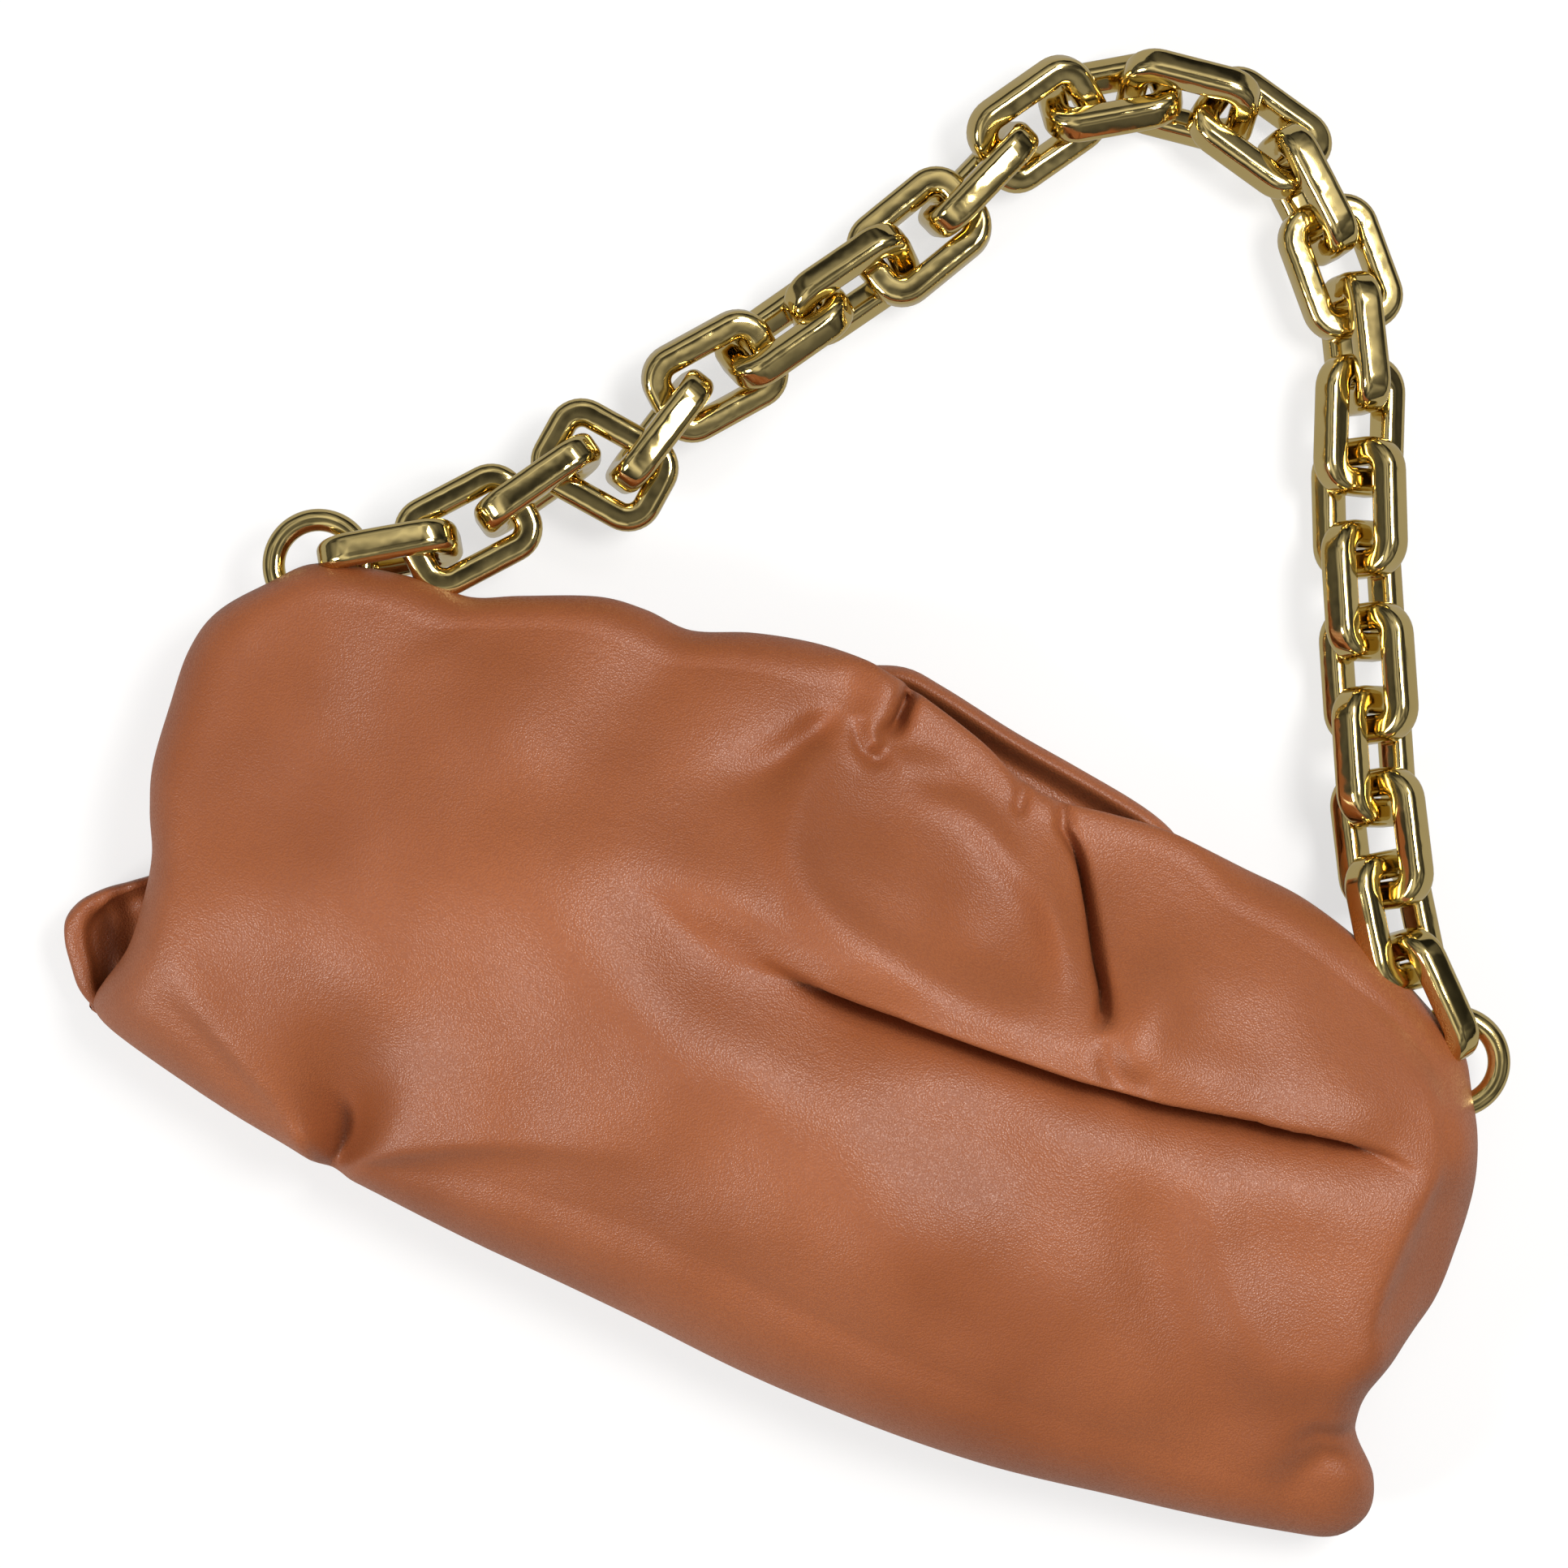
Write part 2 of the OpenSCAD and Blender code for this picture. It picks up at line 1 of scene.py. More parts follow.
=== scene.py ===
import bpy
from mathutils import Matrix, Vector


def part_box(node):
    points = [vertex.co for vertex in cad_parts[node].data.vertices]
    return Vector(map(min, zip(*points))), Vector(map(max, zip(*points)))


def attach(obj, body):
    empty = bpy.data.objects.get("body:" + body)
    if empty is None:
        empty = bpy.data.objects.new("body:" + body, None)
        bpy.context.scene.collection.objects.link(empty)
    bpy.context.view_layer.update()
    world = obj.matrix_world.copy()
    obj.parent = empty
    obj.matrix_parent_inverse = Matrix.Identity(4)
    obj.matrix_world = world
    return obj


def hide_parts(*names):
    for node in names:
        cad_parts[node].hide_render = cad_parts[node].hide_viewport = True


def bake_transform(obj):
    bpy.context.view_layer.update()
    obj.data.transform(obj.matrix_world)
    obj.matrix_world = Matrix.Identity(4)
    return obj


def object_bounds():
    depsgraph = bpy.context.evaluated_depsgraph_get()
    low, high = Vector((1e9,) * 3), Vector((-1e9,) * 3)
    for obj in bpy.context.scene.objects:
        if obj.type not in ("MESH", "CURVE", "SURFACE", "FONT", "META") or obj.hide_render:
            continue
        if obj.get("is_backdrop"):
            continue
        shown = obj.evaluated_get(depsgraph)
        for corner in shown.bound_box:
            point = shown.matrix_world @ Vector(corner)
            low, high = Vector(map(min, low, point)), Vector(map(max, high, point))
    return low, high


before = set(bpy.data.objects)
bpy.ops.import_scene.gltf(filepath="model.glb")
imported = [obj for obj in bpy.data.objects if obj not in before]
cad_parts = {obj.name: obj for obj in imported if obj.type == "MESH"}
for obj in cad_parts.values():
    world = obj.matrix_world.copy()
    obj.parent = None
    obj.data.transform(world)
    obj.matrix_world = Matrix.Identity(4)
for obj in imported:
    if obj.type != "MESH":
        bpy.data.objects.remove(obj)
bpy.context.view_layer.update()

import bpy
import math
import numpy as np
from mathutils import Vector

# ---------------------------------------------------------------------------------------------
# The table top: a plain white sheet that the bag lies on, lit by soft lamps in a dim room, and
# the camera that looks straight down on it. The sheet stays white to the camera and in the
# metal, and keeps the bag's faint shadow.
# ---------------------------------------------------------------------------------------------
CAMERA_LENS, CAMERA_SENSOR = 86.0, 36.0
CAMERA_PLACE, CAMERA_TURN = (-0.02349, -0.0323, 0.850), 22.8
TABLE_SIZE, TABLE_DROP = 6.0, 0.0004
WHITE_SHARE, SHEET_GREY = 0.66, 0.91
METAL_SEES, METAL_SEES_LEVEL = (1.0, 0.97, 0.92, 1.0), 0.46
LAMP_COLOUR, ROOM_COLOUR = (1.0, 0.98, 0.95), (1.0, 0.985, 0.96, 1.0)
# Brightness of the room from the floor (0) to straight above (1), and of the patches on its walls.
FLOOR_LEVEL, TOP_LEVEL = 0.04, 0.10
ROOM_LEVELS = ((0.35, 0.10), (0.60, 0.26), (0.76, 0.62), (0.90, 0.62), (0.965, 0.14))
PATCH_LEVELS = (0.25, 1.45)

scene = bpy.context.scene
scene.view_settings.view_transform = "Standard"

camera_data = bpy.data.cameras.new("camera")
camera_data.lens = CAMERA_LENS
camera_data.sensor_width = CAMERA_SENSOR
camera_data.clip_start = 0.05
camera_data.clip_end = 20.0
camera = bpy.data.objects.new("camera", camera_data)
camera.location = CAMERA_PLACE
camera.rotation_euler = (0.0, 0.0, math.radians(CAMERA_TURN))
scene.collection.objects.link(camera)
scene.camera = camera


def add_node(tree, kind, mode=None, **values):
    """A new shader node with its mode and some of its inputs set; _ stands for a space in a name."""
    made = tree.nodes.new("ShaderNode" + kind)
    if mode and kind == "Math":
        made.operation = mode
    elif mode:
        made.data_type = mode
    for label, value in values.items():
        made.inputs[label.replace("_", " ")].default_value = value
    return made


def wire(tree, *pairs):
    """Links outputs to inputs."""
    for start, end in pairs:
        tree.links.new(start, end)


def new_finish(name):
    """A new material and its nodes."""
    made = bpy.data.materials.new(name)
    made.use_nodes = True
    return made, made.node_tree


world = bpy.data.worlds.new("room")
world.use_nodes = True
scene.world = world
tree = world.node_tree
room = tree.nodes["Background"]
room.inputs["Color"].default_value = ROOM_COLOUR
compass = add_node(tree, "TexCoord")
split = add_node(tree, "SeparateXYZ")
ceiling = add_node(tree, "ValToRGB")
steps = ceiling.color_ramp.elements
steps[0].color = (FLOOR_LEVEL, FLOOR_LEVEL, FLOOR_LEVEL, 1.0)
steps[1].color = (TOP_LEVEL, TOP_LEVEL, TOP_LEVEL, 1.0)
for position, level in ROOM_LEVELS:
    steps.new(position).color = (level, level, level, 1.0)
walls = add_node(tree, "TexNoise", Scale=2.2, Detail=1.0)
contrast = add_node(tree, "MapRange", From_Min=0.40, From_Max=0.60, To_Min=PATCH_LEVELS[0], To_Max=PATCH_LEVELS[1])
level_here = add_node(tree, "Math", "MULTIPLY")
wire(tree, (compass.outputs["Generated"], split.inputs["Vector"]),
     (compass.outputs["Generated"], walls.inputs["Vector"]), (walls.outputs["Fac"], contrast.inputs["Value"]),
     (split.outputs["Z"], ceiling.inputs["Fac"]), (ceiling.outputs["Color"], level_here.inputs[0]),
     (contrast.outputs["Result"], level_here.inputs[1]), (level_here.outputs[0], room.inputs["Strength"]))

bpy.ops.object.select_all(action="DESELECT")
bpy.ops.mesh.primitive_plane_add(size=TABLE_SIZE, location=(0.0, 0.0, -TABLE_DROP))
table_top = bpy.context.object
table_top.name = "table_top"
paper, tree = new_finish("white_paper")
tree.nodes.clear()
out = add_node(tree, "OutputMaterial")
mix = add_node(tree, "MixShader")
matte = add_node(tree, "BsdfDiffuse", Color=(SHEET_GREY, SHEET_GREY, SHEET_GREY, 1.0))
glow = add_node(tree, "Emission", Color=(1.0, 1.0, 1.0, 1.0), Strength=1.0)
path = add_node(tree, "LightPath")
share = add_node(tree, "Math", "MULTIPLY")
share.inputs[1].default_value = WHITE_SHARE
in_metal = add_node(tree, "Emission", Color=METAL_SEES, Strength=METAL_SEES_LEVEL)
last_mix = add_node(tree, "MixShader")
wire(tree, (path.outputs["Is Camera Ray"], share.inputs[0]), (share.outputs[0], mix.inputs[0]),
     (matte.outputs[0], mix.inputs[1]), (glow.outputs[0], mix.inputs[2]),
     (path.outputs["Is Glossy Ray"], last_mix.inputs[0]), (mix.outputs[0], last_mix.inputs[1]),
     (in_metal.outputs[0], last_mix.inputs[2]), (last_mix.outputs[0], out.inputs[0]))
table_top.data.materials.append(paper)
table_top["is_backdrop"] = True


def soft_lamp(name, place, aim, width, height, watts):
    """A rectangular soft lamp at a place, turned towards a point."""
    lamp = bpy.data.lights.new(name, "AREA")
    lamp.shape = "RECTANGLE"
    lamp.size = width
    lamp.size_y = height
    lamp.energy = watts
    lamp.color = LAMP_COLOUR
    stand = bpy.data.objects.new(name, lamp)
    stand.location = place
    stand.rotation_euler = (Vector(aim) - Vector(place)).to_track_quat("-Z", "Y").to_euler()
    scene.collection.objects.link(stand)


soft_lamp("key_lamp", (-0.68, -0.74, 0.66), (0.0, 0.0, 0.0), 0.34, 0.30, 8.2)
soft_lamp("top_lamp", (0.27, 0.24, 0.80), (0.08, 0.0, 0.04), 0.30, 0.26, 5.8)
soft_lamp("far_lamp", (0.20, 0.66, 0.90), (0.0, 0.0, 0.0), 0.36, 0.20, 2.0)

# ---------------------------------------------------------------------------------------------
# Rear leather: the panel the bag lies on, cut from the same calf and sewn to the front leather
# round the base and both sides. At the mouth it is rolled up and over into the bag's opening.
# ---------------------------------------------------------------------------------------------
MM = 0.001
BAG_TO_MODEL = (1.33, -79.5)
LEATHER_THICK = 1.6 * MM

# The outline that shows from above, in the bag's own millimetres: x along the base, y to the mouth.
LEFT_EDGE = [(-151.5, -59.0), (-147.0, -49.5), (-144.6, -41), (-145.5, -30), (-147.6, -21), (-151.8, -13), (-155.2, -4),
             (-157, 9), (-158, 22), (-155.5, 32), (-147.6, 41.5), (-140, 47.3)]
RIGHT_EDGE = [(154.4, -58.2), (158.3, -51), (155.3, -43), (147.5, -35.5), (145.4, -27), (149, -18), (153, -5),
              (153.2, 8), (152, 20), (147.2, 32), (142.5, 40), (137.8, 47)]
BASE_EDGE = [(-151.5, -59.0), (-133, -63.2), (-107, -67.8), (-85, -70), (-54, -72.2), (-16, -73.6), (15, -75.5),
             (44, -75.2), (72, -73.3), (99, -69), (126, -64.5), (143, -61), (154.4, -58.2)]
MOUTH_EDGE = [(-140, 47.3), (-128.4, 52.6), (-115.5, 55.6), (-103, 56.5), (-92.5, 61.4), (-77.6, 67.8), (-67, 69.3),
              (-56, 69), (-43.6, 73.8), (-31, 77), (-19, 78.4), (-12, 77.6), (-2, 75.6), (12, 71.8), (22, 67.8),
              (32, 66.4), (45, 68.3), (58, 69.6), (75.6, 68.2), (91.5, 67), (111, 61.6), (126.5, 54.6), (137.8, 47)]
REAR_MOUTH = [(-140, 45), (-128.4, 49.5), (-115.5, 52.5), (-103, 53.5), (-92.5, 58), (-77.6, 64.5), (-67, 66),
              (-56, 66), (-43.6, 70.8), (-32, 74.5), (-21, 78), (-10, 82), (0, 81.3), (18, 78.3), (34, 76.4),
              (49, 74.4),
              (58, 72.2), (66, 68.6), (78, 65.4), (91.5, 63.8), (111, 58.6), (126.5, 51.8), (137.8, 44.5)]


def along(points, share):
    """Smooth curve through points, at shares from 0 to 1 of its number of steps."""
    points = np.asarray(points, float)
    last = len(points) - 1
    place = np.clip(np.asarray(share, float), 0.0, 1.0) * last
    k = np.minimum(place.astype(int), last - 1)
    f = (place - k)[..., None]
    before = points[np.maximum(k - 1, 0)]
    a = points[k]
    b = points[k + 1]
    after = points[np.minimum(k + 2, last)]
    return 0.5 * (2 * a + (b - before) * f + (2 * before - 5 * a + 4 * b - after) * f ** 2
                  + (3 * a - before - 3 * b + after) * f ** 3)


def even(points, share):
    """The same smooth curve at shares of its length."""
    fine = along(points, np.linspace(0, 1, 1200))
    run = np.concatenate([[0], np.cumsum(np.hypot(*np.diff(fine, axis=0).T))])
    spots = np.asarray(share, float) * run[-1]
    return np.stack([np.interp(spots, run, fine[:, 0]), np.interp(spots, run, fine[:, 1])], -1)


def ease(a, b, value):
    """0 below a, 1 above b and smooth between them."""
    t = np.clip((value - a) / (b - a), 0.0, 1.0)
    return t * t * (3 - 2 * t)


def stretched(left_line, right_line, low_line, high_line, s, t):
    """A panel's places inside its four edge lines, s from left to right and t from base to mouth."""
    left, right = along(left_line, t), along(right_line, t)
    low, high = even(low_line, s), even(high_line, s)
    corners = [np.asarray(p, float) for p in (low_line[0], low_line[-1], high_line[0], high_line[-1])]
    ss, tt = s[..., None], t[..., None]
    return ((1 - tt) * low + tt * high + (1 - ss) * left + ss * right - (1 - ss) * (1 - tt) * corners[0]
            - ss * (1 - tt) * corners[1] - (1 - ss) * tt * corners[2] - ss * tt * corners[3]), left, right, low, high


def bag_sheet(name, x, y, z, flipped=False):
    """A sheet of quads through places given in the bag's millimetres."""
    bpy.ops.object.select_all(action="DESELECT")
    bpy.ops.mesh.primitive_grid_add(x_subdivisions=x.shape[0] - 1, y_subdivisions=x.shape[1] - 1, size=1.0)
    piece = bpy.context.object
    piece.name = name
    start = np.empty(len(piece.data.vertices) * 3)
    piece.data.vertices.foreach_get("co", start)
    start = start.reshape(-1, 3)
    column = np.rint((start[:, 0] + 0.5) * (x.shape[0] - 1)).astype(int)
    row = np.rint((start[:, 1] + 0.5) * (x.shape[1] - 1)).astype(int)
    moved = np.stack([(x[column, row] + BAG_TO_MODEL[0]) * MM, (y[column, row] + BAG_TO_MODEL[1]) * MM,
                      z[column, row] * MM], 1)
    piece.data.vertices.foreach_set("co", moved.ravel())
    piece.data.update()
    if flipped:
        bpy.ops.object.mode_set(mode="EDIT")
        bpy.ops.mesh.select_all(action="SELECT")
        bpy.ops.mesh.flip_normals()
        bpy.ops.object.mode_set(mode="OBJECT")
    bpy.ops.object.shade_smooth()
    return piece


def thicken(piece, thickness):
    """Gives a sheet its thickness, inwards from its outer face."""
    bpy.ops.object.select_all(action="DESELECT")
    piece.select_set(True)
    bpy.context.view_layer.objects.active = piece
    wall = piece.modifiers.new("thickness", "SOLIDIFY")
    wall.thickness = thickness
    wall.offset = -1.0
    bpy.ops.object.modifier_apply(modifier="thickness")


def new_group(name, inputs, outputs):
    """An empty node group with named sockets."""
    group = bpy.data.node_groups.new(name, "ShaderNodeTree")
    kinds = {"value": "NodeSocketFloat", "colour": "NodeSocketColor", "vector": "NodeSocketVector"}
    for label, kind, value in inputs:
        socket = group.interface.new_socket(name=label, in_out="INPUT", socket_type=kinds[kind])
        if value is not None:
            socket.default_value = value
    for label, kind in outputs:
        group.interface.new_socket(name=label, in_out="OUTPUT", socket_type=kinds[kind])
    return group


# Fine calf grain: small pebbles with thin furrows, short stretch lines and cloudy tone.
grain = new_group("calf_grain", [("Place", "vector", None), ("Pebble", "value", 2100.0), ("Cloud", "value", 22.0)],
                  [("Height", "value"), ("Furrow", "value"), ("Tone", "value")])
enter = grain.nodes.new("NodeGroupInput")
leave = grain.nodes.new("NodeGroupOutput")
warp = add_node(grain, "TexNoise", Scale=240.0, Detail=2.0)
bend = add_node(grain, "Mix", "VECTOR", Factor=0.0013)
pebbles = add_node(grain, "TexVoronoi")
furrow = add_node(grain, "MapRange", From_Min=0.15, From_Max=0.75)
cloud = add_node(grain, "TexNoise", Detail=4.0)
pores = add_node(grain, "TexNoise", Scale=2600.0, Detail=3.0)
stretch = add_node(grain, "Mapping", Rotation=(0.0, 0.0, 0.45), Scale=(130.0, 620.0, 300.0))
lines = add_node(grain, "TexNoise", Scale=1.0, Detail=2.0)
patches = add_node(grain, "TexNoise", Scale=28.0)
patch_mask = add_node(grain, "MapRange", From_Min=0.48, From_Max=0.66, To_Max=1.6)
in_patches = add_node(grain, "Math", "MULTIPLY")
raise_it = add_node(grain, "Math", "SUBTRACT")
add_lines = add_node(grain, "Math", "ADD")
wire(grain, (enter.outputs["Place"], warp.inputs["Vector"]), (enter.outputs["Place"], bend.inputs["A"]),
     (warp.outputs["Color"], bend.inputs["B"]), (bend.outputs["Result"], pebbles.inputs["Vector"]),
     (enter.outputs["Pebble"], pebbles.inputs["Scale"]), (pebbles.outputs["Distance"], furrow.inputs["Value"]),
     (enter.outputs["Place"], cloud.inputs["Vector"]), (enter.outputs["Cloud"], cloud.inputs["Scale"]),
     (enter.outputs["Place"], pores.inputs["Vector"]), (pores.outputs["Fac"], raise_it.inputs[0]),
     (furrow.outputs["Result"], raise_it.inputs[1]), (enter.outputs["Place"], stretch.inputs["Vector"]),
     (stretch.outputs["Vector"], lines.inputs["Vector"]), (enter.outputs["Place"], patches.inputs["Vector"]),
     (patches.outputs["Fac"], patch_mask.inputs["Value"]), (lines.outputs["Fac"], in_patches.inputs[0]),
     (patch_mask.outputs["Result"], in_patches.inputs[1]), (raise_it.outputs[0], add_lines.inputs[0]),
     (in_patches.outputs[0], add_lines.inputs[1]), (add_lines.outputs[0], leave.inputs["Height"]),
     (furrow.outputs["Result"], leave.inputs["Furrow"]), (cloud.outputs["Fac"], leave.inputs["Tone"]))


def leather_finish(name, deep, light, roughness, bump):
    """Tan calf: cloudy colour, painted shade that darkens the grain's furrows, and a soft sheen broken up by the grain.
    """
    finish, tree = new_finish(name)
    skin = tree.nodes["Principled BSDF"]
    place = add_node(tree, "TexCoord")
    pattern = add_node(tree, "Group")
    pattern.node_tree = grain
    colour = add_node(tree, "Mix", "RGBA", A=(*deep, 1.0), B=(*light, 1.0))
    tone = add_node(tree, "MapRange", From_Min=0.34, From_Max=0.66)
    # Painted shade: the colour is mixed towards a darker brown in the grain's furrows, where shade would fall.
    furrow_shade = add_node(tree, "Mix", "RGBA", B=(deep[0] * 0.70, deep[1] * 0.58, deep[2] * 0.55, 1.0))
    furrow_shade_amount = add_node(tree, "Math", "MULTIPLY")
    furrow_shade_amount.inputs[1].default_value = 0.40
    rough = add_node(tree, "MapRange", To_Min=roughness - 0.06, To_Max=roughness + 0.22)
    relief = add_node(tree, "Bump", Strength=bump, Distance=0.00018)
    wire(tree, (place.outputs["Object"], pattern.inputs["Place"]), (pattern.outputs["Tone"], tone.inputs["Value"]),
         (tone.outputs["Result"], colour.inputs["Factor"]), (pattern.outputs["Furrow"], furrow_shade_amount.inputs[0]),
         (furrow_shade_amount.outputs[0], furrow_shade.inputs["Factor"]), (colour.outputs["Result"], furrow_shade.inputs["A"]),
         (furrow_shade.outputs["Result"], skin.inputs["Base Color"]), (pattern.outputs["Furrow"], rough.inputs["Value"]),
         (rough.outputs["Result"], skin.inputs["Roughness"]), (pattern.outputs["Height"], relief.inputs["Height"]),
         (relief.outputs["Normal"], skin.inputs["Normal"]))
    return finish


calf = leather_finish("tan_calf", (0.275, 0.079, 0.024), (0.350, 0.108, 0.037), 0.33, 0.38)

ACROSS_REAR, UP_REAR, ROLL_ROWS, TAIL_ROWS = 150, 50, 22, 14
REAR_INSET, REAR_NARROWER, REAR_RISE = 5.0, 0.968, 2.6
ROLL_LEAST, ROLL_MORE, ROLL_FLATNESS = 2.4, 2.9, 0.5
TAIL_LONG, TAIL_DROP = 9.0, 0.58
s, t = np.meshgrid(np.linspace(0, 1, ACROSS_REAR), np.linspace(0, 1, UP_REAR), indexing="ij")
mouth_line = even(REAR_MOUTH, s[:, 0])
roll_radius = ROLL_LEAST + ROLL_MORE * ease(-26, -10, mouth_line[:, 0]) * (1 - ease(52, 74, mouth_line[:, 0]))
inner_left = [(px + REAR_INSET, py) for px, py in LEFT_EDGE]
inner_right = [(px - REAR_INSET, py) for px, py in RIGHT_EDGE]
inner_base = [(px * REAR_NARROWER, py + REAR_INSET) for px, py in BASE_EDGE]
inner_mouth = [(-149.5, 33.0)] + [(px * REAR_NARROWER, py - 9.0) for px, py in REAR_MOUTH[1:-1]] + [(145.5, 33.0)]
inner_left = [inner_base[0]] + inner_left[1:-3] + [inner_mouth[0]]
inner_right = [inner_base[-1]] + inner_right[1:-3] + [inner_mouth[-1]]
flat, *_ = stretched(inner_left, inner_right, inner_base, inner_mouth, s, t)
x, y = flat[..., 0], flat[..., 1]
edge = np.minimum.reduce([s * 300, (1 - s) * 300, t * 130])
z = REAR_RISE * (1 - ease(0, 3.0, edge)) ** 2
turn = np.radians(np.linspace(-90, 90, ROLL_ROWS + 1)[1:])[None, :]
corner = 1 - ease(-150, -120, mouth_line[:, 0]) * (1 - ease(120, 150, mouth_line[:, 0]))
roll_x = np.repeat((mouth_line[:, 0] * (1 - (1 - REAR_NARROWER) * corner))[:, None], ROLL_ROWS, 1)
roll_y = mouth_line[:, 1:2] - ROLL_FLATNESS * roll_radius[:, None] * (1 - np.cos(turn))
roll_z = roll_radius[:, None] * (1 + np.sin(turn))
tail = np.linspace(0, 1, TAIL_ROWS + 1)[None, 1:]
tail_y = roll_y[:, -1:] - TAIL_LONG * tail
tail_z = roll_z[:, -1:] * (1 - TAIL_DROP * ease(0, 0.5, tail))
x = np.concatenate([x, roll_x, np.repeat(roll_x[:, -1:], TAIL_ROWS, 1)], 1)
y = np.concatenate([y, roll_y, tail_y], 1)
z = np.concatenate([z, roll_z, tail_z], 1)
z += 0.7 * np.sin(x / 9.0 + 0.8) * ease(60, 76, y) * ease(3, 9, z)
rear_leather = bag_sheet("rear_leather", x, y, np.maximum(z, 0.0), flipped=True)
thicken(rear_leather, LEATHER_THICK)
rear_leather.data.materials.append(calf)
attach(rear_leather, "bag_body")
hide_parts("back_panel")

# ---------------------------------------------------------------------------------------------
# Rear lining: a piece of woven beige cotton that lies on the rear leather inside the bag, with
# its edges caught in the same seam.
# ---------------------------------------------------------------------------------------------
LINING_THICK = 0.5 * MM

weave = new_group("cotton_weave", [("Place", "vector", None), ("Yarns", "value", 520.0)],
                  [("Height", "value"), ("Shade", "value")])
enter = weave.nodes.new("NodeGroupInput")
leave = weave.nodes.new("NodeGroupOutput")
warp_yarn = add_node(weave, "TexWave")
weft_yarn = add_node(weave, "TexWave")
weft_yarn.bands_direction = "Y"
over = add_node(weave, "Math", "MULTIPLY")
slub = add_node(weave, "TexNoise", Scale=90.0)
wire(weave, (enter.outputs["Place"], warp_yarn.inputs["Vector"]), (enter.outputs["Place"], weft_yarn.inputs["Vector"]),
     (enter.outputs["Yarns"], warp_yarn.inputs["Scale"]), (enter.outputs["Yarns"], weft_yarn.inputs["Scale"]),
     (warp_yarn.outputs["Fac"], over.inputs[0]), (weft_yarn.outputs["Fac"], over.inputs[1]),
     (enter.outputs["Place"], slub.inputs["Vector"]), (over.outputs[0], leave.inputs["Height"]),
     (slub.outputs["Fac"], leave.inputs["Shade"]))

cotton, tree = new_finish("beige_cotton")
cloth = tree.nodes["Principled BSDF"]
place = add_node(tree, "TexCoord")
pattern = add_node(tree, "Group")
pattern.node_tree = weave
shade = add_node(tree, "Mix", "RGBA", A=(0.30, 0.21, 0.13, 1.0), B=(0.42, 0.31, 0.20, 1.0))
yarn_relief = add_node(tree, "Bump", Strength=0.4, Distance=0.0002)
wire(tree, (place.outputs["Object"], pattern.inputs["Place"]), (pattern.outputs["Shade"], shade.inputs["Factor"]),
     (shade.outputs["Result"], cloth.inputs["Base Color"]), (pattern.outputs["Height"], yarn_relief.inputs["Height"]),
     (yarn_relief.outputs["Normal"], cloth.inputs["Normal"]))
cloth.inputs["Roughness"].default_value = 0.85
cloth.inputs["Sheen Weight"].default_value = 0.15

s, t = np.meshgrid(np.linspace(0.03, 0.97, 90), np.linspace(0.05, 0.90, 45), indexing="ij")
flat, *_ = stretched(inner_left, inner_right, inner_base, inner_mouth, s, t)
x, y = flat[..., 0], flat[..., 1]
z = 2.6 + 0.25 * np.sin(x / 13.0) * np.sin(y / 9.0 + 1.0)
rear_lining = bag_sheet("rear_lining", x, y, z)
thicken(rear_lining, LINING_THICK)
rear_lining.data.materials.append(cotton)
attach(rear_lining, "bag_body")
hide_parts("lining_back")

# ---------------------------------------------------------------------------------------------
# Base strip: a narrow folded strip of calf along the base seam, with a thin round welt where the
# front and rear leathers meet and a row of waxed thread stitches beside it.
# ---------------------------------------------------------------------------------------------
WELT_INSET, WELT_RADIUS, WELT_HEIGHT = 4.4, 1.5, 3.6
STRIP_SECTION = [(4.6, 2.4), (4.9, 5.0), (6.4, 9.0), (9.0, 13.0), (12.5, 16.0)]
STITCH_LONG, STITCH_STEP, STITCH_THICK, STITCH_HEIGHT, STITCH_INSET = 2.6, 4.0, 0.45, 2.3, 7.2


def across_way(line):
    """The level way across a line at each of its places."""
    way = np.gradient(line, axis=0)
    way = way / np.maximum(np.hypot(*way.T), 1e-6)[:, None]
    return np.stack([-way[:, 1], way[:, 0]], 1)


def inwards(line, inset):
    """An edge line moved in towards the middle of the bag by an inset."""
    normal = across_way(line)
    if ((np.array([0.0, 0.0]) - line.mean(0)) @ normal.mean(0)) < 0:
        normal = -normal
    return line + normal * inset


def welt(name, line):
    """A thin round leather-covered cord along an edge line."""
    middle = inwards(line, WELT_INSET)
    normal = across_way(middle)
    angle = np.linspace(0, 2 * math.pi, 13)[None, :]
    x = middle[:, :1] + WELT_RADIUS * normal[:, :1] * np.cos(angle)
    y = middle[:, 1:] + WELT_RADIUS * normal[:, 1:] * np.cos(angle)
    z = WELT_HEIGHT + WELT_RADIUS * np.repeat(np.sin(angle), len(middle), 0)
    cord = bag_sheet(name, x, y, z)
    close_up(cord)
    return cord


def close_up(piece):
    """Merges a rolled sheet's seam, closes its open ends and turns its faces outwards."""
    bpy.ops.object.select_all(action="DESELECT")
    piece.select_set(True)
    bpy.context.view_layer.objects.active = piece
    bpy.ops.object.mode_set(mode="EDIT")
    bpy.ops.mesh.select_all(action="SELECT")
    bpy.ops.mesh.remove_doubles(threshold=0.00002)
    bpy.ops.mesh.fill_holes(sides=0)
    bpy.ops.mesh.select_all(action="SELECT")
    bpy.ops.mesh.normals_make_consistent(inside=False)
    bpy.ops.object.mode_set(mode="OBJECT")
    bpy.ops.object.shade_smooth()


def joined(name, pieces):
    """Several loose meshes made one piece."""
    bpy.ops.object.select_all(action="DESELECT")
    for each in pieces:
        each.select_set(True)
    bpy.context.view_layer.objects.active = pieces[0]
    if len(pieces) > 1:
        bpy.ops.object.join()
    pieces[0].name = name
    return pieces[0]


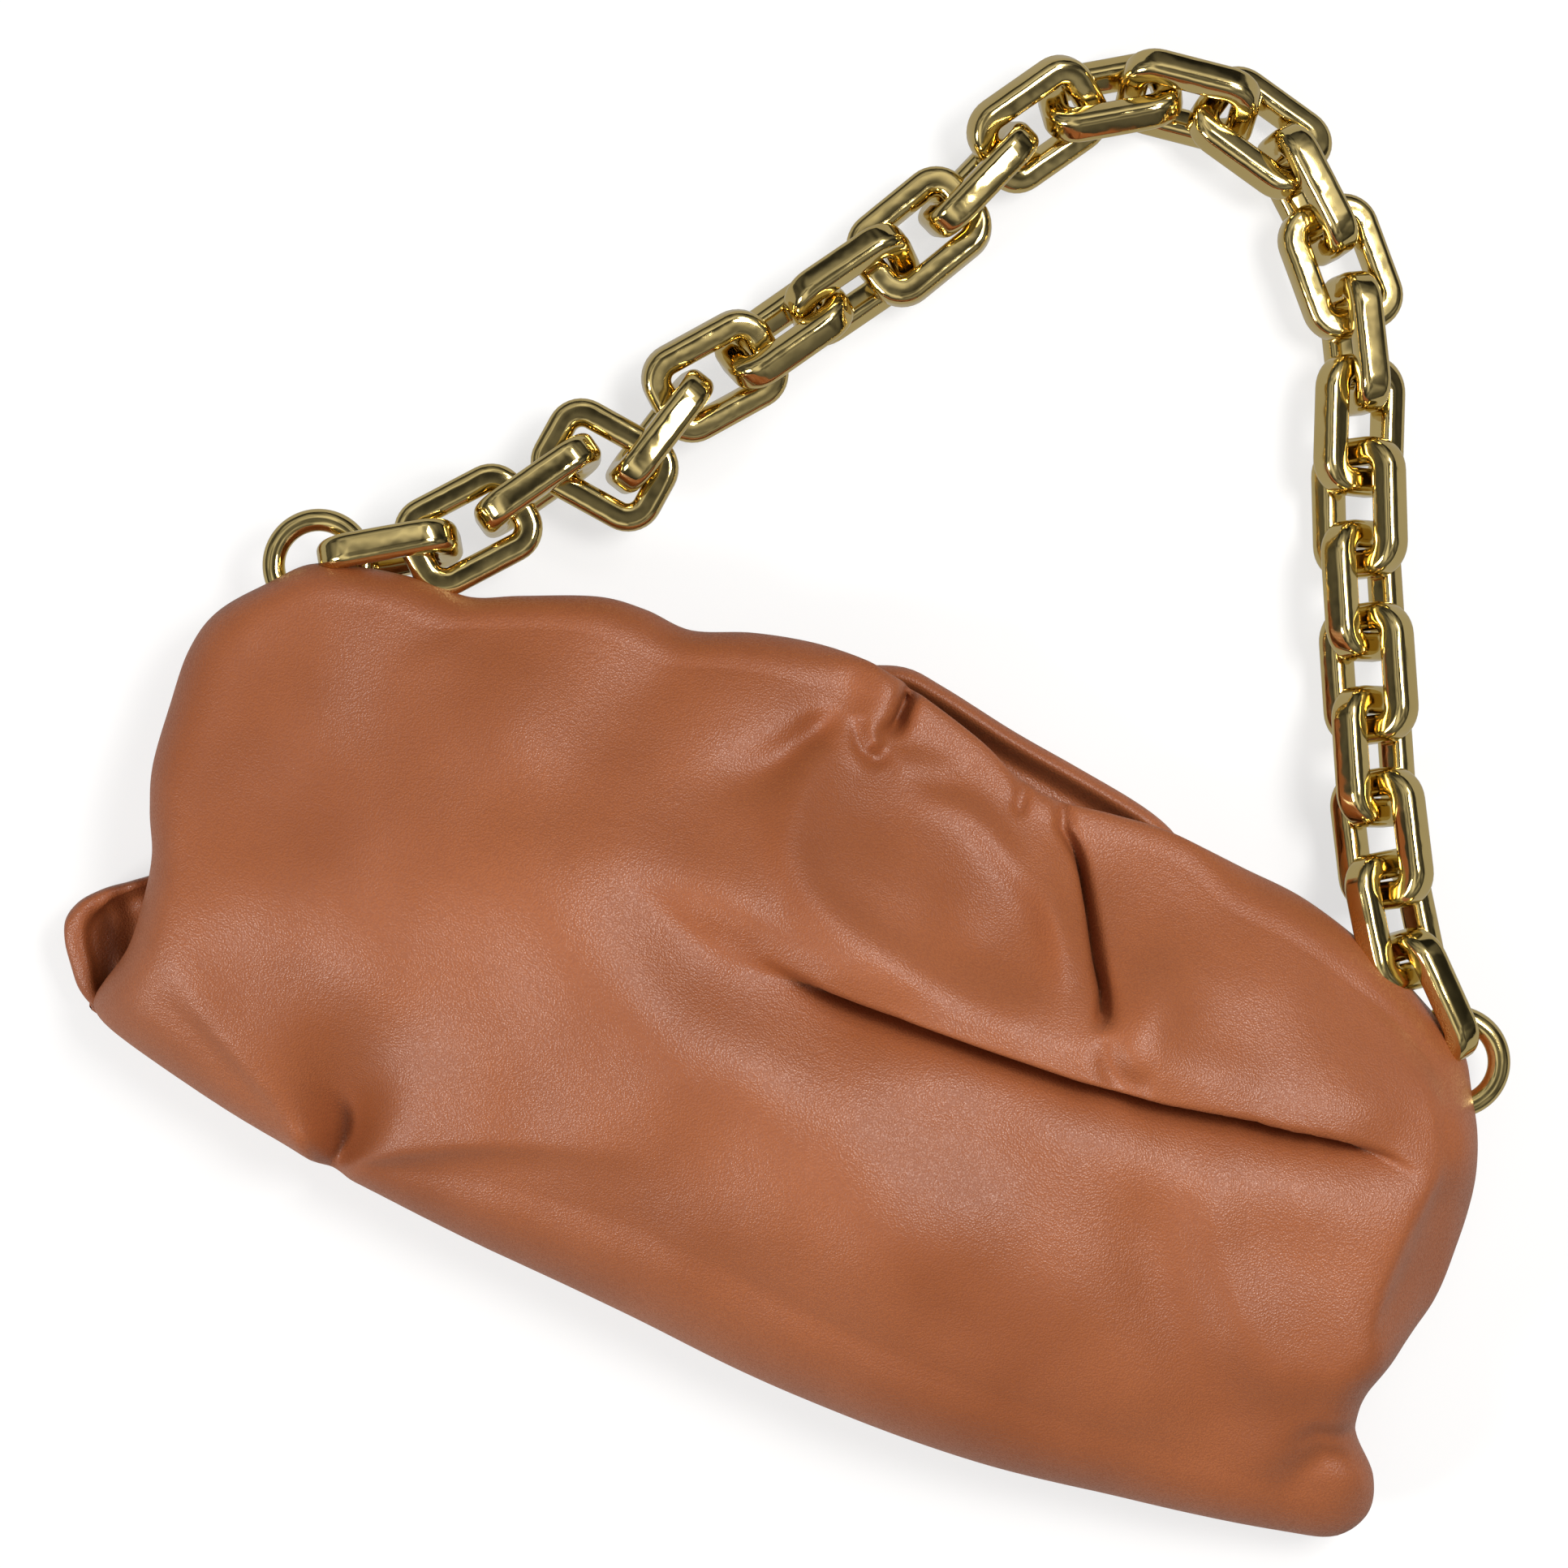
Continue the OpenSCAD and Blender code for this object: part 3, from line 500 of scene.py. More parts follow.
def standing_strip(name, line):
    """A strip of leather that stands on the seam and leans into the bag."""
    section = along(STRIP_SECTION, np.linspace(0, 1, 14))
    x, y = np.stack([inwards(line, away) for away in section[:, 0]], 1).transpose(2, 0, 1)
    z = np.repeat(section[None, :, 1], len(line), 0)
    strip = bag_sheet(name, x, y, z)
    thicken(strip, LEATHER_THICK)
    return strip


def sewn_edge(name, line, trim):
    """The welt and the standing strip along one seam, both in calf."""
    parts = [welt(name + "_welt", line), standing_strip(name + "_wall", line[trim:-trim])]
    for part in parts:
        part.data.materials.append(calf)
    return parts


def stitches(name, line, height, inset):
    """A row of short thread stitches along an edge line."""
    run = np.concatenate([[0], np.cumsum(np.hypot(*np.diff(line, axis=0).T))])
    rows = []
    middle = inwards(line, inset)
    for spot in np.arange(STITCH_STEP, run[-1] - STITCH_STEP, STITCH_STEP):
        here = np.array([np.interp(spot, run, middle[:, 0]), np.interp(spot, run, middle[:, 1])])
        ahead = np.array([np.interp(spot + 1, run, middle[:, 0]), np.interp(spot + 1, run, middle[:, 1])])
        rows.append((here, (ahead - here) / max(np.hypot(*(ahead - here)), 1e-6)))
    made = []
    bpy.ops.object.select_all(action="DESELECT")
    bpy.ops.mesh.primitive_uv_sphere_add(segments=6, ring_count=4, radius=0.5)
    one = bpy.context.object
    bpy.ops.object.shade_smooth()
    start = np.empty(len(one.data.vertices) * 3)
    one.data.vertices.foreach_get("co", start)
    start = start.reshape(-1, 3) * (STITCH_LONG, STITCH_THICK, STITCH_THICK)
    for here, way in rows:
        thread = one.copy()
        thread.data = one.data.copy()
        scene.collection.objects.link(thread)
        turned = start @ np.array([(way[0], way[1], 0.0), (-way[1], way[0], 0.0), (0.0, 0.0, 1.0)])
        place = (turned + (here[0] + BAG_TO_MODEL[0], here[1] + BAG_TO_MODEL[1], height)) * MM
        thread.data.vertices.foreach_set("co", place.ravel())
        made.append(thread)
    bpy.data.objects.remove(one)
    return joined(name, made)


thread_finish, tree = new_finish("waxed_thread")
thread_shader = tree.nodes["Principled BSDF"]
place = add_node(tree, "TexCoord")
twist = add_node(tree, "TexNoise", Scale=2400.0)
twine = add_node(tree, "Mix", "RGBA", A=(0.34, 0.13, 0.06, 1.0), B=(0.48, 0.21, 0.11, 1.0))
wire(tree, (place.outputs["Object"], twist.inputs["Vector"]), (twist.outputs["Fac"], twine.inputs["Factor"]),
     (twine.outputs["Result"], thread_shader.inputs["Base Color"]))
thread_shader.inputs["Roughness"].default_value = 0.6

base_line = even(BASE_EDGE, np.linspace(0.015, 0.985, 140))
base_stitches = stitches("base_stitches", base_line, STITCH_HEIGHT, STITCH_INSET)
base_stitches.data.materials.append(thread_finish)
base_strip = joined("base_strip", sewn_edge("base", base_line, 4) + [base_stitches])
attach(base_strip, "bag_body")
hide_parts("base_panel")

# ---------------------------------------------------------------------------------------------
# Side gussets: the folded calf ends that close the sides. At the left the fold stands out as an
# ear, a small dark pocket with a thick rolled lip; at the right it is hidden under the body.
# ---------------------------------------------------------------------------------------------
EAR_RIM = [(-144, -20), (-147.0, -25.6), (-151.5, -29.6), (-156.5, -33.6), (-160.4, -38.4), (-161.6, -43.0),
           (-160.0, -47.6), (-156.8, -52.2), (-153.0, -56.8), (-148.5, -59.4), (-142.0, -60)]
EAR_MIDDLE = np.array([-136.0, -42.0])
EAR_THICK = 0.9 * MM
EAR_LIP = [0.9, 1.0, 1.2, 1.7, 2.5, 3.0, 3.0, 2.8, 2.3, 1.6, 1.0]
EAR_TOP = [12.0, 13.0, 14.0, 14.5, 15.0, 15.0, 14.5, 13.5, 12.0, 9.0, 6.0]

u, v = np.meshgrid(np.linspace(0, 1, 70), np.linspace(0, 1, 56), indexing="ij")
rim = even(EAR_RIM, u[:, 0])
lip = along(np.array(EAR_LIP)[:, None], u[:, 0])[:, 0]
top = along(np.array(EAR_TOP)[:, None], u[:, 0])[:, 0]
x, y, z = np.zeros_like(u), np.zeros_like(u), np.zeros_like(u)
for k, (here, h, rise) in enumerate(zip(rim, lip, top)):
    # The ear's section as (way in from the rim, height): up the outside, over the lip, down inside.
    section = [(5.5, 2.0), (2.4, 2.3), (0.9, 3.6), (0.2, 6.0), (0.0, rise * 0.62), (0.25, rise - 1.3 * h),
               (0.30 * h + 0.2, rise - 0.35 * h), (h, rise), (1.75 * h, rise - 0.4 * h), (2.05 * h, rise - 1.5 * h),
               (2.1 * h + 1.4, rise * 0.62), (2.1 * h + 4.2, 7.4), (2.0 * h + 8.0, 5.4), (17.0, 5.0)]
    profile = along(section, v[k])
    reach = np.hypot(*(EAR_MIDDLE - here))
    way_in = (EAR_MIDDLE - here) / reach
    step = np.minimum(profile[:, 0], reach - 0.5)
    x[k] = here[0] + way_in[0] * step
    y[k] = here[1] + way_in[1] * step
    z[k] = profile[:, 1]
z += 0.35 * np.sin(x * 0.9 + y * 0.5) * ease(3.0, 8.0, z)
left_ear = bag_sheet("left_ear", x, y, z)
thicken(left_ear, EAR_THICK)
close_up(left_ear)
left_ear.data.materials.append(calf)

left_line = along(LEFT_EDGE, np.linspace(0.36, 0.96, 70))
left_gusset = joined("left_gusset", [left_ear] + sewn_edge("left", left_line, 2))
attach(left_gusset, "bag_body")
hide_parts("gusset_left")

right_line = along(RIGHT_EDGE, np.linspace(0.02, 0.97, 90))
right_gusset = joined("right_gusset", sewn_edge("right", right_line, 3))
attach(right_gusset, "bag_body")
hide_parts("gusset_right")

# ---------------------------------------------------------------------------------------------
# Front leather: one large piece of soft tan calf that runs from the seam along the base, over
# the full body, into the long fold, and up to the mouth, where it is rolled round the front bar.
# It is cut wider than the frame, so it gathers into folds, a slit, a curl and pinched corners.
# ---------------------------------------------------------------------------------------------
def beside(line, x, y):
    """For each place: its distance to the left (+) or right (-) of a line, and its share along it."""
    line = along(line, np.linspace(0, 1, 90))
    best = np.full(x.shape, 1e9)
    side = np.zeros(x.shape)
    share = np.zeros(x.shape)
    steps = np.hypot(*np.diff(line, axis=0).T)
    run = np.concatenate([[0], np.cumsum(steps)])
    for k in range(len(line) - 1):
        a, b = line[k], line[k + 1]
        d = b - a
        t = np.clip(((x - a[0]) * d[0] + (y - a[1]) * d[1]) / (d @ d), 0.0, 1.0)
        dx = x - a[0] - t * d[0]
        dy = y - a[1] - t * d[1]
        away = np.hypot(dx, dy)
        closer = away < best
        best = np.where(closer, away, best)
        side = np.where(closer, np.sign(d[0] * dy - d[1] * dx), side)
        share = np.where(closer, (run[k] + t * steps[k]) / run[-1], share)
    return best * np.where(side == 0, 1, side), share


def bell(away, breadth, power=2.0):
    """1 on a line, smoothly down to nothing beside it."""
    return np.exp(-np.abs(away / breadth) ** power)


def arch(run, power):
    """Nothing at a line's two ends and 1 in its middle."""
    return np.sin(math.pi * np.clip(run, 0, 1)) ** power


def crowded(marks, count):
    """Shares from 0 to 1, closer together round each (share, width, crowding) mark."""
    fine = np.linspace(0, 1, 4001)
    density = np.ones_like(fine)
    for share, width, much in marks:
        density += much * np.exp(-((fine - share) / width) ** 2)
    run = np.cumsum(density)
    run = (run - run[0]) / (run[-1] - run[0])
    return np.interp(np.linspace(0, 1, count), run, fine)


def table_height(rows, x_share, y_share):
    """Smooth surface through a table of heights."""
    rows = np.asarray(rows, float)
    count = rows.shape[0] - 1
    by_row = np.stack([along(row[:, None], x_share)[..., 0] for row in rows], -1)
    place = np.clip(y_share, 0, 1) * count
    k = np.minimum(place.astype(int), count - 1)
    f = place - k

    def row_at(index):
        return np.take_along_axis(by_row, np.clip(index, 0, count)[..., None], -1)[..., 0]
    a, b, c, d = row_at(k - 1), row_at(k), row_at(k + 1), row_at(k + 2)
    return 0.5 * (2 * b + (c - a) * f + (2 * a - 5 * b + 4 * c - d) * f ** 2 + (3 * b - a - 3 * c + d) * f ** 3)


ACROSS, UPWARDS = 270, 180
across = crowded([(0.0, 0.03, 2.0), (1.0, 0.03, 2.0), (0.66, 0.07, 1.5), (0.45, 0.035, 1.6), (0.22, 0.04, 0.7)], ACROSS)
upwards = crowded([(0.0, 0.05, 2.0), (1.0, 0.05, 1.8), (0.63, 0.035, 3.4), (0.9, 0.08, 0.8)], UPWARDS)
s, t = np.meshgrid(across, upwards, indexing="ij")
flat, left, right, low, high = stretched(LEFT_EDGE, RIGHT_EDGE, BASE_EDGE, MOUTH_EDGE, s, t)
x, y = flat[..., 0], flat[..., 1]

# Height of the body under its folds, in shares of its full height; rows run from base to mouth.
FULL_HEIGHT = 59.0
HEIGHTS = [
    [0.46, 0.50, 0.46, 0.50, 0.54, 0.54, 0.54, 0.54, 0.54, 0.52, 0.50, 0.46, 0.36],
    [0.54, 0.62, 0.62, 0.64, 0.68, 0.70, 0.70, 0.70, 0.70, 0.68, 0.64, 0.56, 0.42],
    [0.58, 0.70, 0.74, 0.76, 0.80, 0.84, 0.85, 0.85, 0.84, 0.81, 0.76, 0.67, 0.52],
    [0.60, 0.74, 0.80, 0.84, 0.88, 0.93, 0.95, 0.95, 0.93, 0.88, 0.82, 0.73, 0.56],
    [0.60, 0.74, 0.82, 0.88, 0.94, 0.98, 0.99, 0.98, 0.95, 0.91, 0.85, 0.76, 0.58],
    [0.60, 0.72, 0.82, 0.90, 0.97, 1.00, 0.99, 0.97, 0.94, 0.91, 0.85, 0.76, 0.58],
    [0.60, 0.70, 0.79, 0.87, 0.93, 0.96, 0.96, 0.95, 0.94, 0.92, 0.86, 0.76, 0.58],
    [0.58, 0.66, 0.72, 0.77, 0.80, 0.81, 0.81, 0.81, 0.82, 0.83, 0.80, 0.72, 0.54],
    [0.56, 0.61, 0.63, 0.65, 0.64, 0.62, 0.60, 0.61, 0.64, 0.68, 0.69, 0.64, 0.50],
    [0.52, 0.54, 0.53, 0.52, 0.50, 0.47, 0.46, 0.47, 0.50, 0.54, 0.56, 0.54, 0.48],
    [0.48, 0.48, 0.46, 0.44, 0.42, 0.42, 0.42, 0.42, 0.42, 0.44, 0.46, 0.48, 0.46],
]
z = FULL_HEIGHT * table_height(HEIGHTS, (x + 155) / 310, t)
shift_x = np.zeros_like(x)
shift_y = np.zeros_like(x)

# The long fold: a soft valley at its left, then a thin edge where the mouth side bulges and
# hangs a little over the body side.
LONG_FOLD_X = [-200, -60, -46, -30, -14, 1, 17, 37, 57, 77, 96, 111, 126, 134, 200]
LONG_FOLD_Y = [16, 15.5, 13.5, 10.5, 8.8, 9.4, 12, 13.1, 14.5, 17.1, 21, 22.5, 22.7, 21.5, 20]
fold_y = np.interp(x, LONG_FOLD_X, LONG_FOLD_Y)
above = y - fold_y
soft = ease(-60, -24, x) * (1 - ease(2, 36, x))
z -= 6.6 * soft * bell(above + 1.5, np.where(above < -1.5, 14.0, 7.5))
sharp = ease(-20, 22, x) * (1 - ease(98, 138, x))
body_side = above < 0
below = np.minimum(above, 0)
z -= sharp * body_side * (13.0 * np.exp(below / 8.0) + 3.0 * np.exp(below / 1.6))
z += sharp * ~body_side * (3.6 * bell(above - 9, 8.0) * ease(0, 4, above) - 16.0 * (1 - ease(0.0, 3.4, above)))
shift_y += sharp * np.where(body_side, 1.4 * np.exp(below / 3.0),
                            -4.4 * ease(0.0, 3.2, above) * np.exp(-np.clip(above - 3.2, 0, None) / 15.0))

# The slit from the front lip down towards the long fold, with a rounded bank on its left.
SLIT = [(28.6, 67.4), (32.0, 65.2), (36.5, 61.5), (40.7, 57.5), (45.8, 49.5), (51.4, 39.7), (55.6, 33.4), (58.8, 27.4)]
away, run = beside(SLIT, x, y)
closing = 1 - ease(0.92, 1.0, run)
open_up = ease(0.0, 0.30, run) * closing
depth = 3.0 * ease(0.0, 0.10, run) + 7.5 * ease(0.12, 0.42, run)
z += 2.4 * open_up * (1 - ease(0.6, 1.0, run)) * bell(away + 7.0, 4.2)
z -= depth * closing * bell(away, 1.2 + 0.45 * ease(0.3, 0.9, run), 1.8)
shift_x += 1.5 * ease(0.15, 0.40, run) * (1 - ease(0.80, 1.0, run)) * bell(away + 1.9, 1.6)
z -= 1.8 * open_up * (1 - run) * ease(0.0, 1.5, away) * bell(away, 9.0)

# The round bulge where the slit ends.
z += 6.4 * np.exp(-(((x - 66.5) / 8.5) ** 2 + ((y - 36) / 10.5) ** 2))

# The short pleat at the lip, just left of the top of the slit.
PLEAT = [(19.0, 70.5), (22.0, 67.2), (24.6, 63.6), (25.8, 59.6)]
away, run = beside(PLEAT, x, y)
z -= 1.8 * ease(0, 0.15, run) * (1 - ease(0.7, 1.0, run)) * bell(away, 1.4)

# The curl at the lip: the left part of the lip ends in a rounded lobe that laps over the right part
# round a small dark pocket.
CURL = [(-14, 86), (-12.6, 78.0), (-11.6, 72.0), (-11.8, 67.0), (-10.6, 63.8), (-7.0, 62.6)]
away, run = beside(CURL, x, y)
z += 3.6 * ease(0.0, 0.10, run) * (1 - ease(0.86, 1.0, run)) * bell(away, np.where(away < 0, 5.5, 2.4))
POCKET = [(-6.6, 84.0), (-7.4, 76.0), (-7.6, 70.5), (-7.0, 65.5)]
away, run = beside(POCKET, x, y)
hold = 1 - ease(0.72, 1.0, run)
z -= 8.0 * hold * bell(away, 2.0, 2.2)
shift_x += 1.6 * hold * bell(away + 2.4, 1.8)
VALLEY = [(-20, 68), (-23.4, 60), (-29, 50), (-37, 43), (-48, 40)]
away, run = beside(VALLEY, x, y)
z -= 3.6 * ease(0, 0.2, run) * (1 - ease(0.4, 1.0, run)) * bell(away, 2.6 + 5.0 * run)

# Lines that fade out at both ends, each with its rise, its breadth and how evenly it holds: the
# crease round the bulge, the hook under the pocket, the soft ridges round the flatter middle and
# along the slit, and the crease down the right side.
for line, rise, breadth, evenness in [
        ([(59.5, 26.5), (62.0, 22.6), (66.5, 20.4), (73, 20.6)], -3.2, 2.8, 0.8),
        ([(-15.6, 67.4), (-14.2, 63.8), (-11.6, 61.0), (-8.2, 60.4), (-5.2, 62)], -2.4, 1.9, 0.7),
        ([(-22, 58), (-20.4, 52), (-19.9, 41), (-17.7, 34.3), (-8, 27.0), (8, 24.5), (25.3, 24.1), (44, 22)],
         2.5, 5.0, 0.6),
        ([(-4, 59), (6.5, 57), (16, 56.9), (27.8, 51.3), (40.5, 43.4), (50, 34)], 2.5, 4.0, 0.6),
        ([(-9, 60.5), (0.3, 62.8), (10, 64.8)], 1.6, 3.4, 0.6),
        ([(119, 50), (127, 45), (133, 39.5), (139, 28.5), (142, 14.4), (144.6, 0), (144.8, -16)], -1.3, 1.6, 0.7)]:
    away, run = beside(line, x, y)
    z += rise * arch(run, evenness) * bell(away, breadth)

# The pinch at the base: a valley that narrows to a point, here its wide upper part.
PINCH = [(-84.2, -68.5), (-84.4, -61.5), (-86.5, -52), (-89.5, -42), (-93, -31), (-97, -18)]
LEFT_RIDGE = [(-86, -69), (-91, -65.4), (-97, -61.6), (-103, -57.6), (-113, -52), (-122, -47.0), (-129.5, -41.0),
              (-136, -34)]
RIGHT_RIDGE = [(-83.4, -68), (-76, -62.4), (-68.0, -57.0), (-58, -51), (-48.5, -46.4), (-28, -39), (-4, -35)]
away, run = beside(PINCH, x, y)
z -= 17.0 * (1 - ease(0.0, 1.0, run)) ** 1.5 * bell(away, 3.2 + 17.0 * run)
left_away, left_run = beside(LEFT_RIDGE, x, y)
right_away, right_run = beside(RIGHT_RIDGE, x, y)

# The ridge before the steep right side face, and the knob at the lower right with its dent.
RIGHT_FACE = [(97, 57), (110.7, 51.5), (123, 47.1), (131, 40.8), (137, 33.7), (138.8, 27), (137.2, 18), (136, 6),
              (136.3, -6), (138, -17), (138.6, -25), (139.6, -34)]
away, run = beside(RIGHT_FACE, x, y)
hold = ease(0.06, 0.40, run) * (1 - ease(0.90, 1.0, run))
z += 3.4 * hold * bell(away, np.where(away > 0, 3.2, 11.0), 1.5)
z -= 12.0 * hold * ease(0, 11.0, away)
DENT = [(149, -32), (144.5, -38), (139.5, -43.5), (136.5, -50), (135, -58)]
away, run = beside(DENT, x, y)
z -= 4.0 * (1 - ease(0.35, 1.0, run)) * bell(away, 4.6)

# The soft ridge that runs down the right of the body to the notch, and the crease from the notch.
SOFT_RIDGE = [(86, 12), (91.5, 3.6), (98, -7), (105, -16), (113, -24), (123, -30), (134, -34)]
away, run = beside(SOFT_RIDGE, x, y)
z += ease(0, 0.3, run) * (1 - ease(0.8, 1.0, run)) * (2.2 * bell(away, 6.5) - 2.0 * bell(away + 14.0, 8.0))
NOTCH = [(152, -31), (147, -33.8), (141, -35.2), (135, -39.4), (130, -46)]
away, run = beside(NOTCH, x, y)
z -= 3.4 * (1 - ease(0.3, 1.0, run)) * bell(away, 2.2)

# Broad soft hollows and swells.
for place_x, place_y, reach_x, reach_y, rise in [
        (88, -6, 16, 22, -2.2), (104, -34, 14, 18, -1.8), (98, 30, 12, 8, -1.4), (104, 39, 13, 7, 1.6),
        (-62, 30, 22, 14, -2.2), (-104, 28, 26, 22, -2.4),
        (-62, 4, 22, 24, 1.6), (-30, 34, 18, 14, -2.0), (8, 36, 15, 12, 2.6), (14, 54, 12, 9, 1.8),
        (-118, -16, 20, 18, 1.4), (30, -34, 34, 16, 1.8), (118, -44, 18, 14, -1.6), (-70, 50, 24, 14, -1.8),
        (112, 8, 12, 10, 1.2), (84, 44, 14, 10, 1.6), (-20, -18, 30, 16, 1.6), (30, 30, 12, 8, -1.6),
        (118, 33, 9, 8, 1.8), (-36, 64, 16, 8, 1.6), (-8, 46, 10, 9, -1.6), (-140, 6, 10, 22, -1.2)]:
    z += rise * np.exp(-(((x - place_x) / reach_x) ** 2 + ((y - place_y) / reach_y) ** 2))
for wave_x, wave_y, phase, rise in [(0.11, 0.07, 0.4, 0.35), (-0.08, 0.13, 1.9, 0.35), (0.19, -0.11, 3.1, 0.22),
                                    (0.05, 0.21, 4.4, 0.25), (0.27, 0.16, 5.2, 0.12)]:
    z += rise * np.sin(wave_x * x + wave_y * y + phase)

# Roll the edges down to the seam at the table, and the lip over the front bar at the mouth.
UNDER_TURN = math.radians(52)
SEAM_HEIGHT, LIP_RAISED, LIP_HEIGHT = 4.0, 5.0, 20.5
SIDE_RADIUS, MOUTH_RADIUS, LIP_SHARPER, WIDEST_AT, LEAST_WALL = 13.0, 11.0, 4.5, 0.40, 5.0
BASE_RADIUS = [12, 13.5, 12, 7.5, 6, 12, 18, 21, 22, 22, 21, 20, 18.5, 17, 15, 13, 12]
across_length = np.hypot(*(right - left).transpose(2, 0, 1))
up_length = np.hypot(*(high - low).transpose(2, 0, 1))
base_radius = along(np.array(BASE_RADIUS)[:, None], (x + 160) / 320)[..., 0]
lip_here = ease(-30, -16, x) * (1 - ease(62, 78, x))
ROLLS = [(s * across_length, SIDE_RADIUS, (-1.0, 0.0)), ((1 - s) * across_length, SIDE_RADIUS, (1.0, 0.0)),
         (t * up_length, base_radius, (0.0, -1.0)),
         ((1 - t) * up_length, MOUTH_RADIUS - LIP_SHARPER * lip_here, (0.0, 1.0))]
weights = [(1.0 / np.maximum(away_from / radius, 1e-3)) ** 4 for away_from, radius, _ in ROLLS]
to_edge = 1.0 / sum(weights) ** 0.25
inside = np.clip(to_edge, 0, 1)
radius = sum(w * r for w, (_, r, _) in zip(weights, ROLLS)) / sum(weights)
turn = -UNDER_TURN + (math.pi / 2 + UNDER_TURN) * inside
out_x = sum(w * way[0] for w, (_, _, way) in zip(weights, ROLLS)) / sum(weights)
out_y = sum(w * way[1] for w, (_, _, way) in zip(weights, ROLLS)) / sum(weights)
size = np.maximum(np.hypot(out_x, out_y), 1e-6)
gap_in = inside * radius - radius * (1 - np.cos(turn))
rolled = to_edge < 1
lip_rise = LIP_RAISED + (LIP_HEIGHT - SEAM_HEIGHT - LIP_RAISED) * lip_here
under = np.minimum(SEAM_HEIGHT + lip_rise * weights[3] / sum(weights), z - LEAST_WALL)
middle = under + WIDEST_AT * (z - under)
x = x + shift_x * inside + np.where(rolled, out_x / size * gap_in, 0)
y = y + shift_y * inside + np.where(rolled, out_y / size * gap_in, 0)
upper = middle + (z - middle) * np.sin(turn)
lower = middle + (middle - under) * np.sin(turn) / math.sin(UNDER_TURN)
z = np.where(rolled, np.where(turn > 0, upper, lower), z)

# The pinch's two crisp ridges, which meet in a point on the rolled base edge.
RIDGE_RISE = 3.2
on_top = ease(0.10, 0.45, to_edge)
z += (RIDGE_RISE * (1 - ease(0.45, 1.0, left_run)) * on_top
      * bell(left_away, np.where(left_away > 0, 1.6 + 3.0 * left_run, 7.0), 1.6))
z += (RIDGE_RISE * (1 - ease(0.25, 0.95, right_run)) * on_top
      * bell(right_away, np.where(right_away < 0, 1.6 + 3.0 * right_run, 8.0), 1.6))

front_leather = bag_sheet("front_leather", x, y, z)
thicken(front_leather, LEATHER_THICK)
front_leather.data.materials.append(calf)
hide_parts("front_body_panel", "front_flap_panel")
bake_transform(front_leather)

# ---------------------------------------------------------------------------------------------
# Front lining: the same beige cotton, glued inside the front leather and left loose across its
# folds, so it hangs a little below them.
# ---------------------------------------------------------------------------------------------
LINING_DROP, SLACK_STEPS, SMOOTH_STEPS = 4.0, 8, 12
SIDE_MARGIN, BASE_MARGIN, LIP_MARGIN = 18, 20, 34
low_z = z.copy()
for step in range(SLACK_STEPS):
    low_z[1:-1, 1:-1] = np.minimum.reduce([low_z[1:-1, 1:-1], low_z[2:, 1:-1], low_z[:-2, 1:-1], low_z[1:-1, 2:],
                                           low_z[1:-1, :-2]])
    if step == SLACK_STEPS // 2 - 1:
        highest = low_z.copy()
for step in range(SMOOTH_STEPS):
    low_z[1:-1, 1:-1] = (low_z[1:-1, 1:-1] + low_z[2:, 1:-1] + low_z[:-2, 1:-1] + low_z[1:-1, 2:]
                         + low_z[1:-1, :-2]) / 5
low_z = np.minimum(low_z, highest) - LINING_DROP
inner = np.ix_(range(SIDE_MARGIN, ACROSS - SIDE_MARGIN, 2), range(BASE_MARGIN, UPWARDS - LIP_MARGIN, 2))
front_lining = bag_sheet("front_lining", x[inner], y[inner], low_z[inner])
thicken(front_lining, LINING_THICK)
front_lining.data.materials.append(cotton)
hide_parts("lining_front", "lining_flap")
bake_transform(front_lining)

# ---------------------------------------------------------------------------------------------
# Frame sleeve: a soft padded calf sleeve, stitched round the front bar, which gives the mouth
# its round lip. The leather over it is gathered, so it is puckered across its length.
# ---------------------------------------------------------------------------------------------
SLEEVE_LINE = [(-117, 41.5), (-104, 42.5), (-90, 48), (-74, 56), (-50, 59), (-20, 59.5), (10, 59.5), (40, 59.5),
               (60, 58), (76, 54), (92, 47), (104, 42.5), (112, 41.5)]
SLEEVE_WIDE, SLEEVE_TALL, SLEEVE_MIDDLE = 3.6, 5.0, 14.4
spots = np.linspace(0, 1, 220)
line = even(SLEEVE_LINE, spots)
normal = across_way(line)
puckers = 1 + 0.07 * np.sin(spots * 190) + 0.04 * np.sin(spots * 83)
swell = np.maximum(arch(spots, 0.22) * puckers, 0.02)[:, None]
angle = np.linspace(0, 2 * math.pi, 33)[None, :]
x = line[:, :1] + normal[:, :1] * SLEEVE_WIDE * swell * np.cos(angle)
y = line[:, 1:] + normal[:, 1:] * SLEEVE_WIDE * swell * np.cos(angle)
z = SLEEVE_MIDDLE + SLEEVE_TALL * swell * np.sin(angle)
frame_pad = bag_sheet("frame_pad", x, y, z)
close_up(frame_pad)
frame_pad.data.materials.append(calf)
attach(frame_pad, "front_half")
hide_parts("frame_sleeve")

# ---------------------------------------------------------------------------------------------
# Mouth frame: two plated steel bars hinged at their ends on steel pins and held shut by a pair
# of small nickelled magnets, with riveted lugs that carry the chain's end rings.
# ---------------------------------------------------------------------------------------------
wear = new_group("metal_wear", [("Place", "vector", None), ("Least", "value", 0.1), ("Most", "value", 0.2)],
                 [("Rough", "value"), ("Height", "value"), ("Film", "value")])
enter = wear.nodes.new("NodeGroupInput")
leave = wear.nodes.new("NodeGroupOutput")
haze = add_node(wear, "TexNoise", Scale=140.0, Detail=5.0)
spread = add_node(wear, "MapRange", From_Min=0.35, From_Max=0.70)
swell_noise = add_node(wear, "TexNoise", Scale=210.0, Detail=1.0)
film = add_node(wear, "TexNoise", Scale=60.0)
